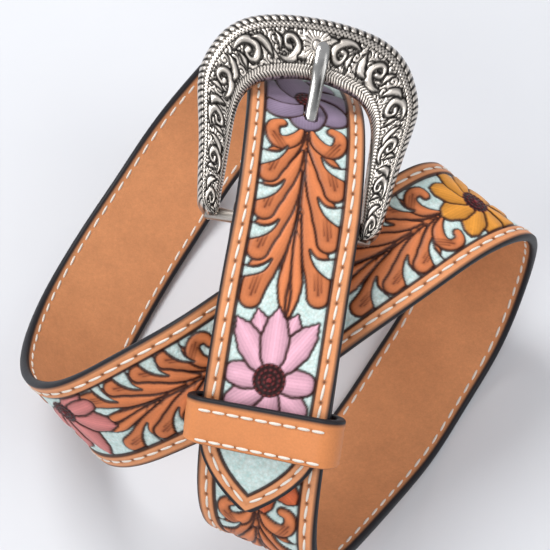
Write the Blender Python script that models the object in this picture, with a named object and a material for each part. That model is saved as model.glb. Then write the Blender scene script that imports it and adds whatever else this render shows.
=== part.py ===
"""Western tooled belt, buckled and lying as a closed coil of two turns, in metres with +Z up."""

import math

import bmesh
import bpy
import numpy as np
from mathutils import Matrix, Vector

# Strap
STRAP_WIDTH = 0.038
STRAP_THICK = 0.003
STRAP_EDGE = 0.0008
LAYER_GAP = 0.0004
TIP_LENGTH = 0.027
TIP_BLUNT = 0.0012
TIP_FULLNESS = 2.1
TIP_LEAN = 0.0020
RETURN_LENGTH = 0.022
RETURN_CLOSES = 0.014
FOLD_STEPS = 12
SECTION_STEP = 0.004
SETTLE_DEPTH = 0.0005

# Coil, between the middles of the strap
COIL_ACROSS = 0.145
COIL_ALONG = 0.170
COIL_TALL = 0.100

# Buckle frame, in the buckle's own axes: across, towards the arch, out of the frame
SIDE_ROOM = 0.0024
FRAME_SHIFT = -0.0019
FRAME_RIM = 0.0134
FRAME_LENGTH = 0.0702
FRAME_ARCH = 0.0210
FRAME_THICK = 0.0050
FRAME_BACK = -0.0003
FRAME_BOSS = 0.0020
FRAME_HEEL = 0.0018
BAR_RADIUS = 0.0020
BAR_ROOM = 0.0003
BAR_SIDES = 24
BAR_BITE = 0.0040

# Prong
PRONG_WIDTH = 0.0044
PRONG_THICK = 0.0028
PRONG_TIP_BACK = 0.0097
PRONG_EYE = 0.0012
PRONG_EYE_LIP = 0.0002
PRONG_ROOM = 0.0006
PRONG_SEAT = 0.00045
PRONG_SIDES = 16
PRONG_SQUARE = 0.75
HOLE_PLACE = 0.0382
HOLE_LENGTH = 0.0116
HOLE_SIDES = 24

# Keeper
KEEPER_WIDTH = 0.0140
KEEPER_THICK = 0.0028
KEEPER_RISE = 0.0012
KEEPER_SEAT = 0.0005
KEEPER_SIDE_ROOM = 0.0018
KEEPER_TOP_ROOM = 0.0006
KEEPER_PLACE = 0.0268
KEEPER_EDGE = 0.0005
KEEPER_CORNER = 0.0036
KEEPER_TURN_STEPS = 6
KEEPER_RUN_STEPS = 8

# Places that follow from the sizes
LAYER = STRAP_THICK + LAYER_GAP
FOLD_RADIUS = BAR_RADIUS + BAR_ROOM + STRAP_THICK / 2.0
FRAME_INNER = STRAP_WIDTH / 2.0 + SIDE_ROOM
FRAME_OUTER = FRAME_INNER + FRAME_RIM
PRONG_LENGTH = FRAME_LENGTH - PRONG_TIP_BACK
PRONG_TOP = FRAME_BACK + FRAME_THICK + PRONG_SEAT + PRONG_THICK / 2.0

# The stretch where the strap runs straight up to the buckle, and the billet lies on it.
# name, across, along and height as shares of the coil, ruling heading and rise in degrees
RUN = (
    ("under the tip", -0.037, -0.549, 0.580, -18.5, 9.0),
    ("keeper", -0.022, -0.452, 0.765, -13.0, 4.0),
    ("below crossing", -0.001, -0.345, 0.880, -9.5, -1.0),
    ("on the crossing", 0.021, -0.222, 0.945, -8.0, -5.0),
    ("heel bar", 0.0415, -0.1135, 0.9815, -7.1, -7.8),
)

# The rest of the strap, from the buckle round both turns, in the same columns.
TURNS = (
    ("hole", 0.062, 0.027, 1.036, -6.0, -11.0),
    ("under the arch", 0.066, 0.174, 0.960, -6.0, -15.0),
    ("top bend start", 0.052, 0.290, 0.855, -12.0, -24.0),
    ("top bend outer", 0.023, 0.385, 0.695, -17.0, -29.0),
    ("top bend side", -0.028, 0.432, 0.515, -21.0, -30.0),
    ("top bend low", -0.112, 0.425, 0.330, -22.0, -30.0),
    ("left strand start", -0.210, 0.363, 0.185, -24.0, -28.0),
    ("left strand upper", -0.293, 0.260, 0.116, -26.0, -26.0),
    ("left strand middle", -0.369, 0.141, 0.099, -25.5, -25.5),
    ("left strand lower", -0.434, 0.020, 0.102, -25.0, -28.0),
    ("left bend start", -0.482, -0.105, 0.143, -28.0, -37.5),
    ("left bend low", -0.496, -0.226, 0.240, -32.0, -43.0),
    ("left bend side", -0.461, -0.326, 0.382, -35.0, -44.5),
    ("left bend high", -0.372, -0.378, 0.545, -37.0, -43.5),
    ("crossing strand left", -0.248, -0.367, 0.680, -42.0, -41.0),
    ("before the crossing", -0.115, -0.326, 0.766, -47.0, -34.0),
    ("crossing", 0.013, -0.248, 0.785, -51.0, -19.0),
    ("after the crossing", 0.141, -0.167, 0.803, -52.0, -12.0),
    ("crossing strand right", 0.267, -0.090, 0.820, -52.5, -9.0),
    ("right bend start", 0.380, -0.013, 0.797, -51.5, -6.5),
    ("right bend high", 0.464, 0.045, 0.685, -45.0, -1.0),
    ("right bend side", 0.500, 0.075, 0.471, -37.0, 2.0),
    ("right bend low", 0.488, 0.051, 0.249, -33.5, 2.5),
    ("right strand start", 0.438, -0.028, 0.078, -32.5, 1.5),
    ("right strand upper", 0.356, -0.136, 0.019, -32.5, 0.0),
    ("right strand middle", 0.272, -0.250, 0.020, -32.0, 1.5),
    ("right strand lower", 0.183, -0.359, 0.064, -31.5, 9.0),
    ("bottom bend low", 0.097, -0.462, 0.147, -30.0, 13.0),
    ("bottom bend outer", 0.018, -0.549, 0.275, -29.5, 13.5),
    ("bottom bend high", -0.031, -0.576, 0.475, -24.0, 12.5),
)

# Half of the horseshoe, from the end of a leg to the top of the arch.
# name, outer edge and inner edge: shares of the half widths across and of the lengths along,
# then the share of the boss under the leg
HORSESHOE = (
    ("leg end", 0.700, -0.85, 1.030, -0.70, 1.00),
    ("leg foot", 0.775, 0.015, 1.000, 0.000, 1.00),
    ("leg above the bar", 0.815, 0.060, 1.000, 0.080, 1.00),
    ("leg low", 0.850, 0.170, 1.000, 0.190, 0.25),
    ("leg middle", 0.885, 0.300, 1.000, 0.330, 0.00),
    ("leg high", 0.940, 0.450, 1.000, 0.480, 0.00),
    ("shoulder low", 0.985, 0.570, 1.000, 0.620, 0.00),
    ("shoulder", 0.995, 0.650, 0.985, 0.720, 0.00),
    ("shoulder high", 0.955, 0.740, 0.930, 0.810, 0.00),
    ("corner", 0.870, 0.835, 0.830, 0.880, 0.00),
    ("corner high", 0.740, 0.910, 0.680, 0.935, 0.00),
    ("arch side", 0.570, 0.958, 0.480, 0.968, 0.00),
    ("arch near top", 0.300, 0.990, 0.250, 0.992, 0.00),
    ("arch top", 0.000, 1.000, 0.000, 1.000, 0.00),
)

# Section of the frame: share across from the outer edge, share of the thickness
FRAME_SECTION = (
    (0.00, 0.42),
    (0.06, 0.78),
    (0.22, 0.96),
    (0.50, 1.00),
    (0.78, 0.90),
    (0.95, 0.66),
    (1.00, 0.36),
)

# Prong: share of its length, share of the height it has on the arch, shares of its width
# and thickness
PRONG_ROWS = (
    ("eye", 0.000, 0.435, 1.00, 0.80),
    ("root", 0.140, 0.351, 1.00, 0.95),
    ("under the billet", 0.300, 0.137, 0.95, 1.00),
    ("before the hole", 0.450, -0.250, 0.90, 1.00),
    ("hole start", 0.540, -0.480, 0.90, 1.00),
    ("in the hole", 0.605, -0.230, 0.90, 1.00),
    ("hole end", 0.700, 0.305, 0.92, 1.00),
    ("to the arch", 0.775, 0.687, 0.96, 1.00),
    ("on the arch", 0.840, 0.916, 1.05, 1.00),
    ("arch middle", 0.900, 0.985, 1.08, 0.95),
    ("near the tip", 0.955, 0.985, 1.00, 0.90),
    ("tip", 1.000, 0.931, 0.55, 0.60),
)

# Extra sections near the billet's tip, as shares of the tip's length
TIP_SECTIONS = (0.02, 0.05, 0.10, 0.25, 0.40)


def clear_scene():
    """Empties the startup scene."""
    for item in list(bpy.data.objects):
        bpy.data.objects.remove(item, do_unlink=True)


def collection_named(name, hidden):
    """New collection of the scene; helpers go in a hidden one."""
    made = bpy.data.collections.new(name)
    bpy.context.scene.collection.children.link(made)
    made.hide_render = hidden
    return made


def material_named(name, colour, roughness, metallic):
    """Plain Principled material."""
    made = bpy.data.materials.new(name)
    made.use_nodes = True
    shader = made.node_tree.nodes["Principled BSDF"]
    shader.inputs["Base Color"].default_value = (*colour, 1.0)
    shader.inputs["Roughness"].default_value = roughness
    shader.inputs["Metallic"].default_value = metallic
    made.diffuse_color = (*colour, 1.0)
    return made


def cubic_bends(places, values):
    """Second derivatives of the natural cubic through the values."""
    count = len(places)
    gaps = np.diff(places)
    slopes = np.diff(values, axis=0) / gaps[:, None]
    matrix = np.eye(count)
    right = np.zeros_like(values)
    for i in range(1, count - 1):
        matrix[i, i - 1] = gaps[i - 1]
        matrix[i, i] = 2.0 * (gaps[i - 1] + gaps[i])
        matrix[i, i + 1] = gaps[i]
        right[i] = 6.0 * (slopes[i] - slopes[i - 1])
    return np.linalg.solve(matrix, right)


def cubic_at(places, values, bends, at):
    """Values of that cubic at the given places."""
    index = np.clip(np.searchsorted(places, at) - 1, 0, len(places) - 2)
    gap = (places[index + 1] - places[index])[:, None]
    b = (at[:, None] - places[index][:, None]) / gap
    a = 1.0 - b
    curve = a * values[index] + b * values[index + 1]
    curve += ((a**3 - a) * bends[index] + (b**3 - b) * bends[index + 1]) * gap**2 / 6.0
    return curve


def row_values(rows):
    """Centre and ruling of each route row, as one line of six numbers."""
    lines = []
    for _, across, along, height, heading, rise in rows:
        turn = math.radians(heading)
        lean = math.radians(rise)
        centre = (across * COIL_ACROSS, along * COIL_ALONG, height * COIL_TALL)
        flat = math.cos(lean)
        lines.append(centre + (math.cos(turn) * flat, math.sin(turn) * flat, math.sin(lean)))
    return np.array(lines)


def smooth_frames(lines, step, near_start=()):
    """Frames (centre, tangent, ruling, normal) along the cubic through the lines."""
    hops = np.linalg.norm(np.diff(lines[:, :3], axis=0), axis=1)
    places = np.concatenate([[0.0], np.cumsum(hops)])
    bends = cubic_bends(places, lines)
    count = int(round(places[-1] / step)) + 1
    at = np.linspace(0.0, places[-1], count)
    at = np.union1d(at, np.array(near_start)) if near_start else at
    curve = cubic_at(places, lines, bends, at)
    centres = curve[:, :3]
    tangents = np.gradient(centres, at, axis=0)
    tangents /= np.linalg.norm(tangents, axis=1)[:, None]
    rulings = curve[:, 3:]
    rulings = rulings - (rulings * tangents).sum(axis=1)[:, None] * tangents
    rulings /= np.linalg.norm(rulings, axis=1)[:, None]
    normals = np.cross(rulings, tangents)
    return [np.array(frame) for frame in zip(centres, tangents, rulings, normals)]


def nearest_frame(frames, centre):
    """Index of the frame whose centre is nearest to a point."""
    return int(np.argmin([np.linalg.norm(frame[0] - centre) for frame in frames]))


def strap_frames():
    """Frames of the whole strap, from the billet tip round both turns to the heel bar.

    The coil stands with its lowest point just under the surface and its middle over the origin.
    """
    run = row_values(RUN)
    turns = row_values(TURNS)
    lower = smooth_frames(np.vstack([turns[-2:], run, turns[:1]]), SECTION_STEP / 2.0)
    start = nearest_frame(lower, run[0, :3])
    end = nearest_frame(lower, run[-1, :3])
    under = [np.concatenate([f[0], f[2]]) for f in lower[start : end + 1]]
    billet = [np.concatenate([f[0] + f[3] * LAYER, f[2]]) for f in lower[start : end + 1]]
    extra = tuple(TIP_LENGTH * share for share in TIP_SECTIONS)
    frames = smooth_frames(np.vstack([billet, turns, under]), SECTION_STEP, extra)
    lowest = min(frame_low(frame) for frame in frames)
    edges = np.array([f[0] + side * f[2] * STRAP_WIDTH / 2.0 for f in frames for side in (-1.0, 1.0)])
    middle = (edges.min(axis=0) + edges.max(axis=0)) / 2.0
    shift = np.array((-middle[0], -middle[1], -lowest - SETTLE_DEPTH))
    return [np.array((f[0] + shift, f[1], f[2], f[3])) for f in frames]


def frame_low(frame):
    """Height of the strap's lowest point at one frame."""
    half = abs(frame[2][2]) * STRAP_WIDTH + abs(frame[3][2]) * STRAP_THICK
    return frame[0][2] - half / 2.0


def path_places(frames):
    """Distance along the frames' centres."""
    centres = np.array([frame[0] for frame in frames])
    hops = np.linalg.norm(np.diff(centres, axis=0), axis=1)
    return np.concatenate([[0.0], np.cumsum(hops)])


def fold_frames(frames):
    """Frames of the strap's end, round the heel bar and back under itself."""
    centre, tangent, ruling, normal = frames[-1]
    bar = centre - normal * FOLD_RADIUS
    folded = []
    for k in range(1, FOLD_STEPS + 1):
        angle = math.pi * k / FOLD_STEPS
        out = math.cos(angle) * normal + math.sin(angle) * tangent
        way = math.cos(angle) * tangent - math.sin(angle) * normal
        folded.append(np.array((bar + out * FOLD_RADIUS, way, ruling, out)))
    places = path_places(frames)
    for i in range(len(frames) - 2, 0, -1):
        back = places[-1] - places[i]
        if back > RETURN_LENGTH:
            break
        share = min(back / RETURN_CLOSES, 1.0)
        ease = share * share * (3.0 - 2.0 * share)
        drop = 2.0 * FOLD_RADIUS + (LAYER - 2.0 * FOLD_RADIUS) * ease
        c, t, r, n = frames[i]
        folded.append(np.array((c - n * drop, -t, r, -n)))
    return folded


def strap_ring(frame, half, aside):
    """Points of the strap's section at one frame, set aside from its middle line."""
    edge = min(STRAP_EDGE, 0.3 * half)
    deep = STRAP_THICK / 2.0
    side = deep - STRAP_EDGE
    inner = half - edge
    third = half / 3.0
    outline = (
        (-half, -side), (-inner, -deep), (-third, -deep), (third, -deep), (inner, -deep), (half, -side),
        (half, side), (inner, deep), (third, deep), (-third, deep), (-inner, deep), (-half, side),
    )
    ring = []
    for across, out in outline:
        point = frame[0] + frame[2] * (across + aside) + frame[3] * out
        ring.append((point[0], point[1], max(point[2], 0.0)))
    return ring


def tip_half_width(place):
    """Half width of the billet at a distance from its tip."""
    if place >= TIP_LENGTH:
        return STRAP_WIDTH / 2.0
    left = (1.0 - place / TIP_LENGTH) ** TIP_FULLNESS
    return TIP_BLUNT + (STRAP_WIDTH / 2.0 - TIP_BLUNT) * (1.0 - left)


def tip_lean(place):
    """How far the point of the billet stands off the strap's middle line."""
    return -TIP_LEAN * max(0.0, 1.0 - place / TIP_LENGTH)


def solid_from_rings(name, rings, closed, collection, material):
    """Closed solid skinned over rings of points; open runs are capped."""
    mesh = bpy.data.meshes.new(name)
    size = len(rings[0])
    points = [point for ring in rings for point in ring]
    faces = []
    hops = len(rings) if closed else len(rings) - 1
    for i in range(hops):
        here = i * size
        there = ((i + 1) % len(rings)) * size
        for k in range(size):
            step = (k + 1) % size
            faces.append((here + k, here + step, there + step, there + k))
    if not closed:
        faces.append(tuple(reversed(range(size))))
        faces.append(tuple((len(rings) - 1) * size + k for k in range(size)))
    mesh.from_pydata(points, [], faces)
    mesh.update()
    return finished_object(name, mesh, collection, material)


def finished_object(name, mesh, collection, material):
    """Object of a mesh with outward faces."""
    shape = bmesh.new()
    shape.from_mesh(mesh)
    bmesh.ops.recalc_face_normals(shape, faces=shape.faces)
    shape.to_mesh(mesh)
    shape.free()
    made = bpy.data.objects.new(name, mesh)
    collection.objects.link(made)
    if material:
        mesh.materials.append(material)
    return made


def combine(target, tool, operation):
    """Exact boolean of a helper into a part."""
    change = target.modifiers.new(tool.name, "BOOLEAN")
    change.object = tool
    change.operation = operation
    change.solver = "EXACT"


def helper(made):
    """Sets an object up as a hidden helper."""
    made.hide_render = True
    made.display_type = "WIRE"
    return made


def build_strap(frames, collection, material):
    """The strap, one solid from the tip to the folded end."""
    places = path_places(frames)
    rings = [strap_ring(f, tip_half_width(s), tip_lean(s)) for f, s in zip(frames, places)]
    rings += [strap_ring(f, STRAP_WIDTH / 2.0, 0.0) for f in fold_frames(frames)]
    return solid_from_rings("strap", rings, False, collection, material)


def buckle_axes(frames):
    """The buckle's own axes, with the middle of the heel bar as origin."""
    centre, tangent, ruling, normal = frames[-1]
    origin = centre - normal * FOLD_RADIUS
    axes = Matrix.Identity(4)
    for column, axis in enumerate((ruling, tangent, normal)):
        for row in range(3):
            axes[row][column] = axis[row]
    for row in range(3):
        axes[row][3] = origin[row]
    return axes


def horseshoe_rows():
    """Outer and inner edge points round the whole frame, from one leg to the other."""
    rows = []
    inner_length = FRAME_LENGTH - FRAME_ARCH
    for name, outer_x, outer_y, inner_x, inner_y, boss in HORSESHOE:
        at_end = name == "leg end"
        y_out = outer_y * (FRAME_HEEL if at_end else FRAME_LENGTH)
        y_in = inner_y * (FRAME_HEEL if at_end else inner_length)
        rows.append((outer_x * FRAME_OUTER, y_out, inner_x * FRAME_INNER, y_in, boss))
    left = [(-a, b, -c, d, e) for a, b, c, d, e in rows]
    return left + rows[-2::-1]


def build_frame(axes, collection, material, helpers):
    """The horseshoe frame, one solid with its heel bar."""
    rings = []
    for x_out, y_out, x_in, y_in, boss in horseshoe_rows():
        low = FRAME_BACK - boss * FRAME_BOSS
        ring = [(x_out, y_out, low)]
        for share, rise in FRAME_SECTION:
            x = x_out + (x_in - x_out) * share
            y = y_out + (y_in - y_out) * share
            ring.append((x, y, FRAME_BACK + FRAME_THICK * rise))
        ring.append((x_in, y_in, low))
        rings.append([axes @ Vector((x + FRAME_SHIFT, y, z)) for x, y, z in ring])
    frame = solid_from_rings("buckle_frame", rings, False, collection, material)
    reach = FRAME_INNER + BAR_BITE
    bar = helper(rod("heel_bar", axes, FRAME_SHIFT, reach, BAR_RADIUS, helpers))
    combine(frame, bar, "UNION")
    return frame


def rod(name, axes, middle, reach, radius, collection):
    """Round rod along the heel bar's line."""
    rings = []
    for x in (middle - reach, middle + reach):
        ring = []
        for k in range(BAR_SIDES):
            angle = 2.0 * math.pi * k / BAR_SIDES
            ring.append(axes @ Vector((x, radius * math.cos(angle), radius * math.sin(angle))))
        rings.append(ring)
    return solid_from_rings(name, rings, False, collection, None)


def squared(share):
    """Pushes a round section towards a square one."""
    return math.copysign(abs(share) ** PRONG_SQUARE, share)


def build_prong(axes, collection, material, helpers):
    """The prong: an eye round the heel bar and a tongue that rests on the arch."""
    rings = []
    for _, place, height, wide, thick in PRONG_ROWS:
        half = PRONG_WIDTH * wide / 2.0
        deep = PRONG_THICK * thick / 2.0
        ring = []
        for k in range(PRONG_SIDES):
            angle = 2.0 * math.pi * k / PRONG_SIDES
            x = half * squared(math.cos(angle))
            z = height * PRONG_TOP + deep * squared(math.sin(angle))
            ring.append(axes @ Vector((x, place * PRONG_LENGTH, z)))
        rings.append(ring)
    prong = solid_from_rings("prong", rings, False, collection, material)
    wall = BAR_RADIUS + BAR_ROOM + PRONG_EYE
    eye = helper(rod("prong_eye", axes, 0.0, PRONG_WIDTH / 2.0 + PRONG_EYE_LIP, wall, helpers))
    bore = helper(rod("prong_bore", axes, 0.0, PRONG_WIDTH, BAR_RADIUS + BAR_ROOM, helpers))
    combine(prong, eye, "UNION")
    combine(prong, bore, "DIFFERENCE")
    return prong


def block(name, axes, low, high, collection):
    """Box between two corners in the buckle's axes."""
    rings = []
    for z in (low[2], high[2]):
        corners = ((low[0], low[1]), (high[0], low[1]), (high[0], high[1]), (low[0], high[1]))
        rings.append([axes @ Vector((x, y, z)) for x, y in corners])
    return solid_from_rings(name, rings, False, collection, None)


def cut_strap(strap, axes, helpers):
    """Cuts the prong's slot in the fold and the prong's hole in the billet."""
    half = PRONG_WIDTH / 2.0 + PRONG_ROOM
    wall = FOLD_RADIUS + STRAP_THICK / 2.0
    slot_edge = wall + LAYER_GAP / 2.0
    low = (-half, -wall, -slot_edge)
    high = (half, slot_edge, slot_edge)
    combine(strap, helper(block("prong_slot", axes, low, high, helpers)), "DIFFERENCE")
    rings = []
    straight = HOLE_LENGTH / 2.0 - half
    for z in (-2.0 * STRAP_THICK, wall + STRAP_THICK):
        ring = []
        for k in range(HOLE_SIDES):
            angle = 2.0 * math.pi * k / HOLE_SIDES
            shift = math.copysign(straight, math.sin(angle))
            y = HOLE_PLACE + shift + half * math.sin(angle)
            ring.append(axes @ Vector((half * math.cos(angle), y, z)))
        rings.append(ring)
    hole = solid_from_rings("prong_hole", rings, False, helpers, None)
    combine(strap, helper(hole), "DIFFERENCE")


def frame_at(frames, places, place):
    """Frame between two sections of the strap."""
    i = int(np.clip(np.searchsorted(places, place), 1, len(places) - 1))
    share = (place - places[i - 1]) / (places[i] - places[i - 1])
    return frames[i - 1] * (1.0 - share) + frames[i] * share


def keeper_loop():
    """Inside line of the keeper round both layers: across, out, and its outward direction."""
    half = STRAP_WIDTH / 2.0 + KEEPER_SIDE_ROOM
    low = -LAYER - STRAP_THICK / 2.0 - KEEPER_SEAT
    high = STRAP_THICK / 2.0 + KEEPER_TOP_ROOM
    run = half - KEEPER_CORNER
    corners = (
        (run, high - KEEPER_CORNER, 0.0),
        (-run, high - KEEPER_CORNER, 90.0),
        (-run, low + KEEPER_CORNER, 180.0),
        (run, low + KEEPER_CORNER, 270.0),
    )
    line = []
    for x, z, start in corners:
        for k in range(KEEPER_TURN_STEPS + 1):
            angle = math.radians(start + 90.0 * k / KEEPER_TURN_STEPS)
            way = (math.cos(angle), math.sin(angle))
            line.append((x + KEEPER_CORNER * way[0], z + KEEPER_CORNER * way[1], way))
        if start in (0.0, 180.0):
            side = 1.0 if start == 0.0 else -1.0
            level = high if start == 0.0 else low
            for k in range(1, KEEPER_RUN_STEPS):
                x_run = side * run * (1.0 - 2.0 * k / KEEPER_RUN_STEPS)
                line.append((x_run, level, (0.0, side)))
    return line


def build_keeper(frames, collection, material):
    """The keeper, a closed loop of leather round billet and strap."""
    places = path_places(frames)
    loop = keeper_loop()
    low = min(z for _, z, _ in loop)
    high = max(z for _, z, _ in loop)
    rings = []
    for x, z, way in loop:
        ring = []
        for along, out in keeper_section():
            c, _, r, n = frame_at(frames, places, KEEPER_PLACE + along)
            open_up = (along / KEEPER_WIDTH + 0.5) * (z - low) / (high - low)
            level = z + way[1] * out + KEEPER_RISE * open_up
            ring.append(tuple(c + r * (x + way[0] * out) + n * level))
        rings.append(ring)
    return solid_from_rings("keeper", rings, True, collection, material)


def keeper_section():
    """Section of the keeper's band: place along the strap and distance out."""
    half = KEEPER_WIDTH / 2.0
    flat = half - KEEPER_EDGE
    thick = KEEPER_THICK
    edge = KEEPER_EDGE
    return (
        (-half, edge), (-flat, 0.0), (0.0, 0.0), (flat, 0.0), (half, edge),
        (half, thick - edge), (flat, thick), (0.0, thick), (-flat, thick), (-half, thick - edge),
    )


def main():
    clear_scene()
    belt = collection_named("western_belt", False)
    helpers = collection_named("helpers", True)
    leather = material_named("leather_tan", (0.55, 0.24, 0.10), 0.55, 0.0)
    pale = material_named("leather_pale", (0.66, 0.36, 0.18), 0.55, 0.0)
    silver = material_named("silver_antique", (0.62, 0.60, 0.57), 0.35, 1.0)
    nickel = material_named("nickel_polished", (0.80, 0.79, 0.77), 0.12, 1.0)
    frames = strap_frames()
    axes = buckle_axes(frames)
    strap = build_strap(frames, belt, leather)
    cut_strap(strap, axes, helpers)
    build_frame(axes, belt, silver, helpers)
    build_prong(axes, belt, nickel, helpers)
    build_keeper(frames, belt, pale)


main()
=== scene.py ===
# %% [markdown]
# A western belt lies buckled on a pale table, coiled in two turns.
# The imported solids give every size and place. This script dresses them: tooled and painted
# leather, white stitching, an engraved silver buckle, its prong and a leather keeper.

# %% The frame
import math

import bmesh
import bpy
import numpy as np
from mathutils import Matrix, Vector


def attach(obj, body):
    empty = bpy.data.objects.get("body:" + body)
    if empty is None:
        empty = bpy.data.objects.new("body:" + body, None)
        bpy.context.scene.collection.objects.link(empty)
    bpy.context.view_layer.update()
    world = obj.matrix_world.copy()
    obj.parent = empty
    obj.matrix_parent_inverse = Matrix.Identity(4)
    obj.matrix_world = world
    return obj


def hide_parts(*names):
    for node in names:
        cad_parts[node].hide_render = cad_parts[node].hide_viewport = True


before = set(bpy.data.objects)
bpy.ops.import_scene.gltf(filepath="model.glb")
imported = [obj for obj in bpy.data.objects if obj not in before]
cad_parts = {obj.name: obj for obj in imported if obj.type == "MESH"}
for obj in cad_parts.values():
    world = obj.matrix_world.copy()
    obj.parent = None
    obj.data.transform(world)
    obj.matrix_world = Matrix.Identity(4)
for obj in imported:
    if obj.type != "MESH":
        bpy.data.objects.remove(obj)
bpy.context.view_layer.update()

# %% [markdown]
# The strap follows one smooth line. Its sizes and its few stations are the ones
# that the solids were made from, so that the fine surface lies exactly where the solid lies.
# Lengths are in metres here; places on the leather are in millimetres further down.

# %% Sizes of the belt
STRAP_WIDTH = 0.038
STRAP_THICK = 0.003
LAYER_GAP = 0.0004
TIP_LENGTH = 0.027
TIP_BLUNT = 0.0012
TIP_FULLNESS = 2.1
TIP_LEAN = 0.0020
RETURN_LENGTH = 0.022
RETURN_CLOSES = 0.014
SECTION_STEP = 0.004
SETTLE_DEPTH = 0.0005
COIL = (0.145, 0.170, 0.100)
SIDE_ROOM = 0.0024
FRAME_SHIFT = -0.0019
FRAME_RIM = 0.0134
FRAME_LENGTH = 0.0702
FRAME_ARCH = 0.0210
FRAME_THICK = 0.0050
FRAME_BACK = -0.0003
FRAME_BOSS = 0.0020
FRAME_HEEL = 0.0018
BAR_RADIUS = 0.0020
BAR_ROOM = 0.0003
BAR_BITE = 0.0040
PRONG_WIDTH = 0.0044
PRONG_THICK = 0.0028
PRONG_TIP_BACK = 0.0097
PRONG_EYE = 0.0012
PRONG_ROOM = 0.0006
PRONG_SEAT = 0.00045
HOLE_PLACE = 0.0382
HOLE_LENGTH = 0.0116
KEEPER_WIDTH = 0.0140
KEEPER_THICK = 0.0028
KEEPER_RISE = 0.0012
KEEPER_SEAT = 0.0005
KEEPER_SIDE_ROOM = 0.0018
KEEPER_TOP_ROOM = 0.0006
KEEPER_PLACE = 0.0268
KEEPER_CORNER = 0.0036
LAYER = STRAP_THICK + LAYER_GAP
FOLD_RADIUS = BAR_RADIUS + BAR_ROOM + STRAP_THICK / 2.0
FRAME_INNER = STRAP_WIDTH / 2.0 + SIDE_ROOM
FRAME_OUTER = FRAME_INNER + FRAME_RIM
PRONG_LENGTH = FRAME_LENGTH - PRONG_TIP_BACK
PRONG_TOP = FRAME_BACK + FRAME_THICK + PRONG_SEAT + PRONG_THICK / 2.0

# across, along and height as shares of the coil, then ruling heading and rise in degrees
RUN = (
    (-0.037, -0.549, 0.580, -18.5, 9.0), (-0.022, -0.452, 0.765, -13.0, 4.0),
    (-0.001, -0.345, 0.880, -9.5, -1.0), (0.021, -0.222, 0.945, -8.0, -5.0),
    (0.0415, -0.1135, 0.9815, -7.1, -7.8),
)
TURNS = (
    (0.062, 0.027, 1.036, -6.0, -11.0), (0.066, 0.174, 0.960, -6.0, -15.0),
    (0.052, 0.290, 0.855, -12.0, -24.0), (0.023, 0.385, 0.695, -17.0, -29.0),
    (-0.028, 0.432, 0.515, -21.0, -30.0), (-0.112, 0.425, 0.330, -22.0, -30.0),
    (-0.210, 0.363, 0.185, -24.0, -28.0), (-0.293, 0.260, 0.116, -26.0, -26.0),
    (-0.369, 0.141, 0.099, -25.5, -25.5), (-0.434, 0.020, 0.102, -25.0, -28.0),
    (-0.482, -0.105, 0.143, -28.0, -37.5), (-0.496, -0.226, 0.240, -32.0, -43.0),
    (-0.461, -0.326, 0.382, -35.0, -44.5), (-0.372, -0.378, 0.545, -37.0, -43.5),
    (-0.248, -0.367, 0.680, -42.0, -41.0), (-0.115, -0.326, 0.766, -47.0, -34.0),
    (0.013, -0.248, 0.785, -51.0, -19.0), (0.141, -0.167, 0.803, -52.0, -12.0),
    (0.267, -0.090, 0.820, -52.5, -9.0), (0.380, -0.013, 0.797, -51.5, -6.5),
    (0.464, 0.045, 0.685, -45.0, -1.0), (0.500, 0.075, 0.471, -37.0, 2.0),
    (0.488, 0.051, 0.249, -33.5, 2.5), (0.438, -0.028, 0.078, -32.5, 1.5),
    (0.356, -0.136, 0.019, -32.5, 0.0), (0.272, -0.250, 0.020, -32.0, 1.5),
    (0.183, -0.359, 0.064, -31.5, 9.0), (0.097, -0.462, 0.147, -30.0, 13.0),
    (0.018, -0.549, 0.275, -29.5, 13.5), (-0.031, -0.576, 0.475, -24.0, 12.5),
)
print("stations of the strap:", len(RUN) + len(TURNS))


# %% The strap's line as a natural cubic
def cubic_bends(places, values):
    """Second derivatives of the natural cubic through the values."""
    count = len(places)
    gaps = np.diff(places)
    slopes = np.diff(values, axis=0) / gaps[:, None]
    matrix = np.eye(count)
    right = np.zeros_like(values)
    for i in range(1, count - 1):
        matrix[i, i - 1 : i + 2] = gaps[i - 1], 2.0 * (gaps[i - 1] + gaps[i]), gaps[i]
        right[i] = 6.0 * (slopes[i] - slopes[i - 1])
    return np.linalg.solve(matrix, right)


def cubic_at(places, values, bends, at):
    """Values of that cubic at the given places."""
    index = np.clip(np.searchsorted(places, at) - 1, 0, len(places) - 2)
    gap = (places[index + 1] - places[index])[:, None]
    b = (at[:, None] - places[index][:, None]) / gap
    a = 1.0 - b
    curve = a * values[index] + b * values[index + 1]
    return curve + ((a**3 - a) * bends[index] + (b**3 - b) * bends[index + 1]) * gap**2 / 6.0


def run_along(points):
    """Distance run along a line of points."""
    return np.concatenate([[0.0], np.cumsum(np.linalg.norm(np.diff(points, axis=0), axis=1))])


def row_values(rows):
    """Centre and ruling of each station."""
    lines = []
    for *shares, heading, rise in rows:
        turn, lean = math.radians(heading), math.radians(rise)
        centre = tuple(share * size for share, size in zip(shares, COIL))
        ruling = (math.cos(turn) * math.cos(lean), math.sin(turn) * math.cos(lean), math.sin(lean))
        lines.append(centre + ruling)
    return np.array(lines)


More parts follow.
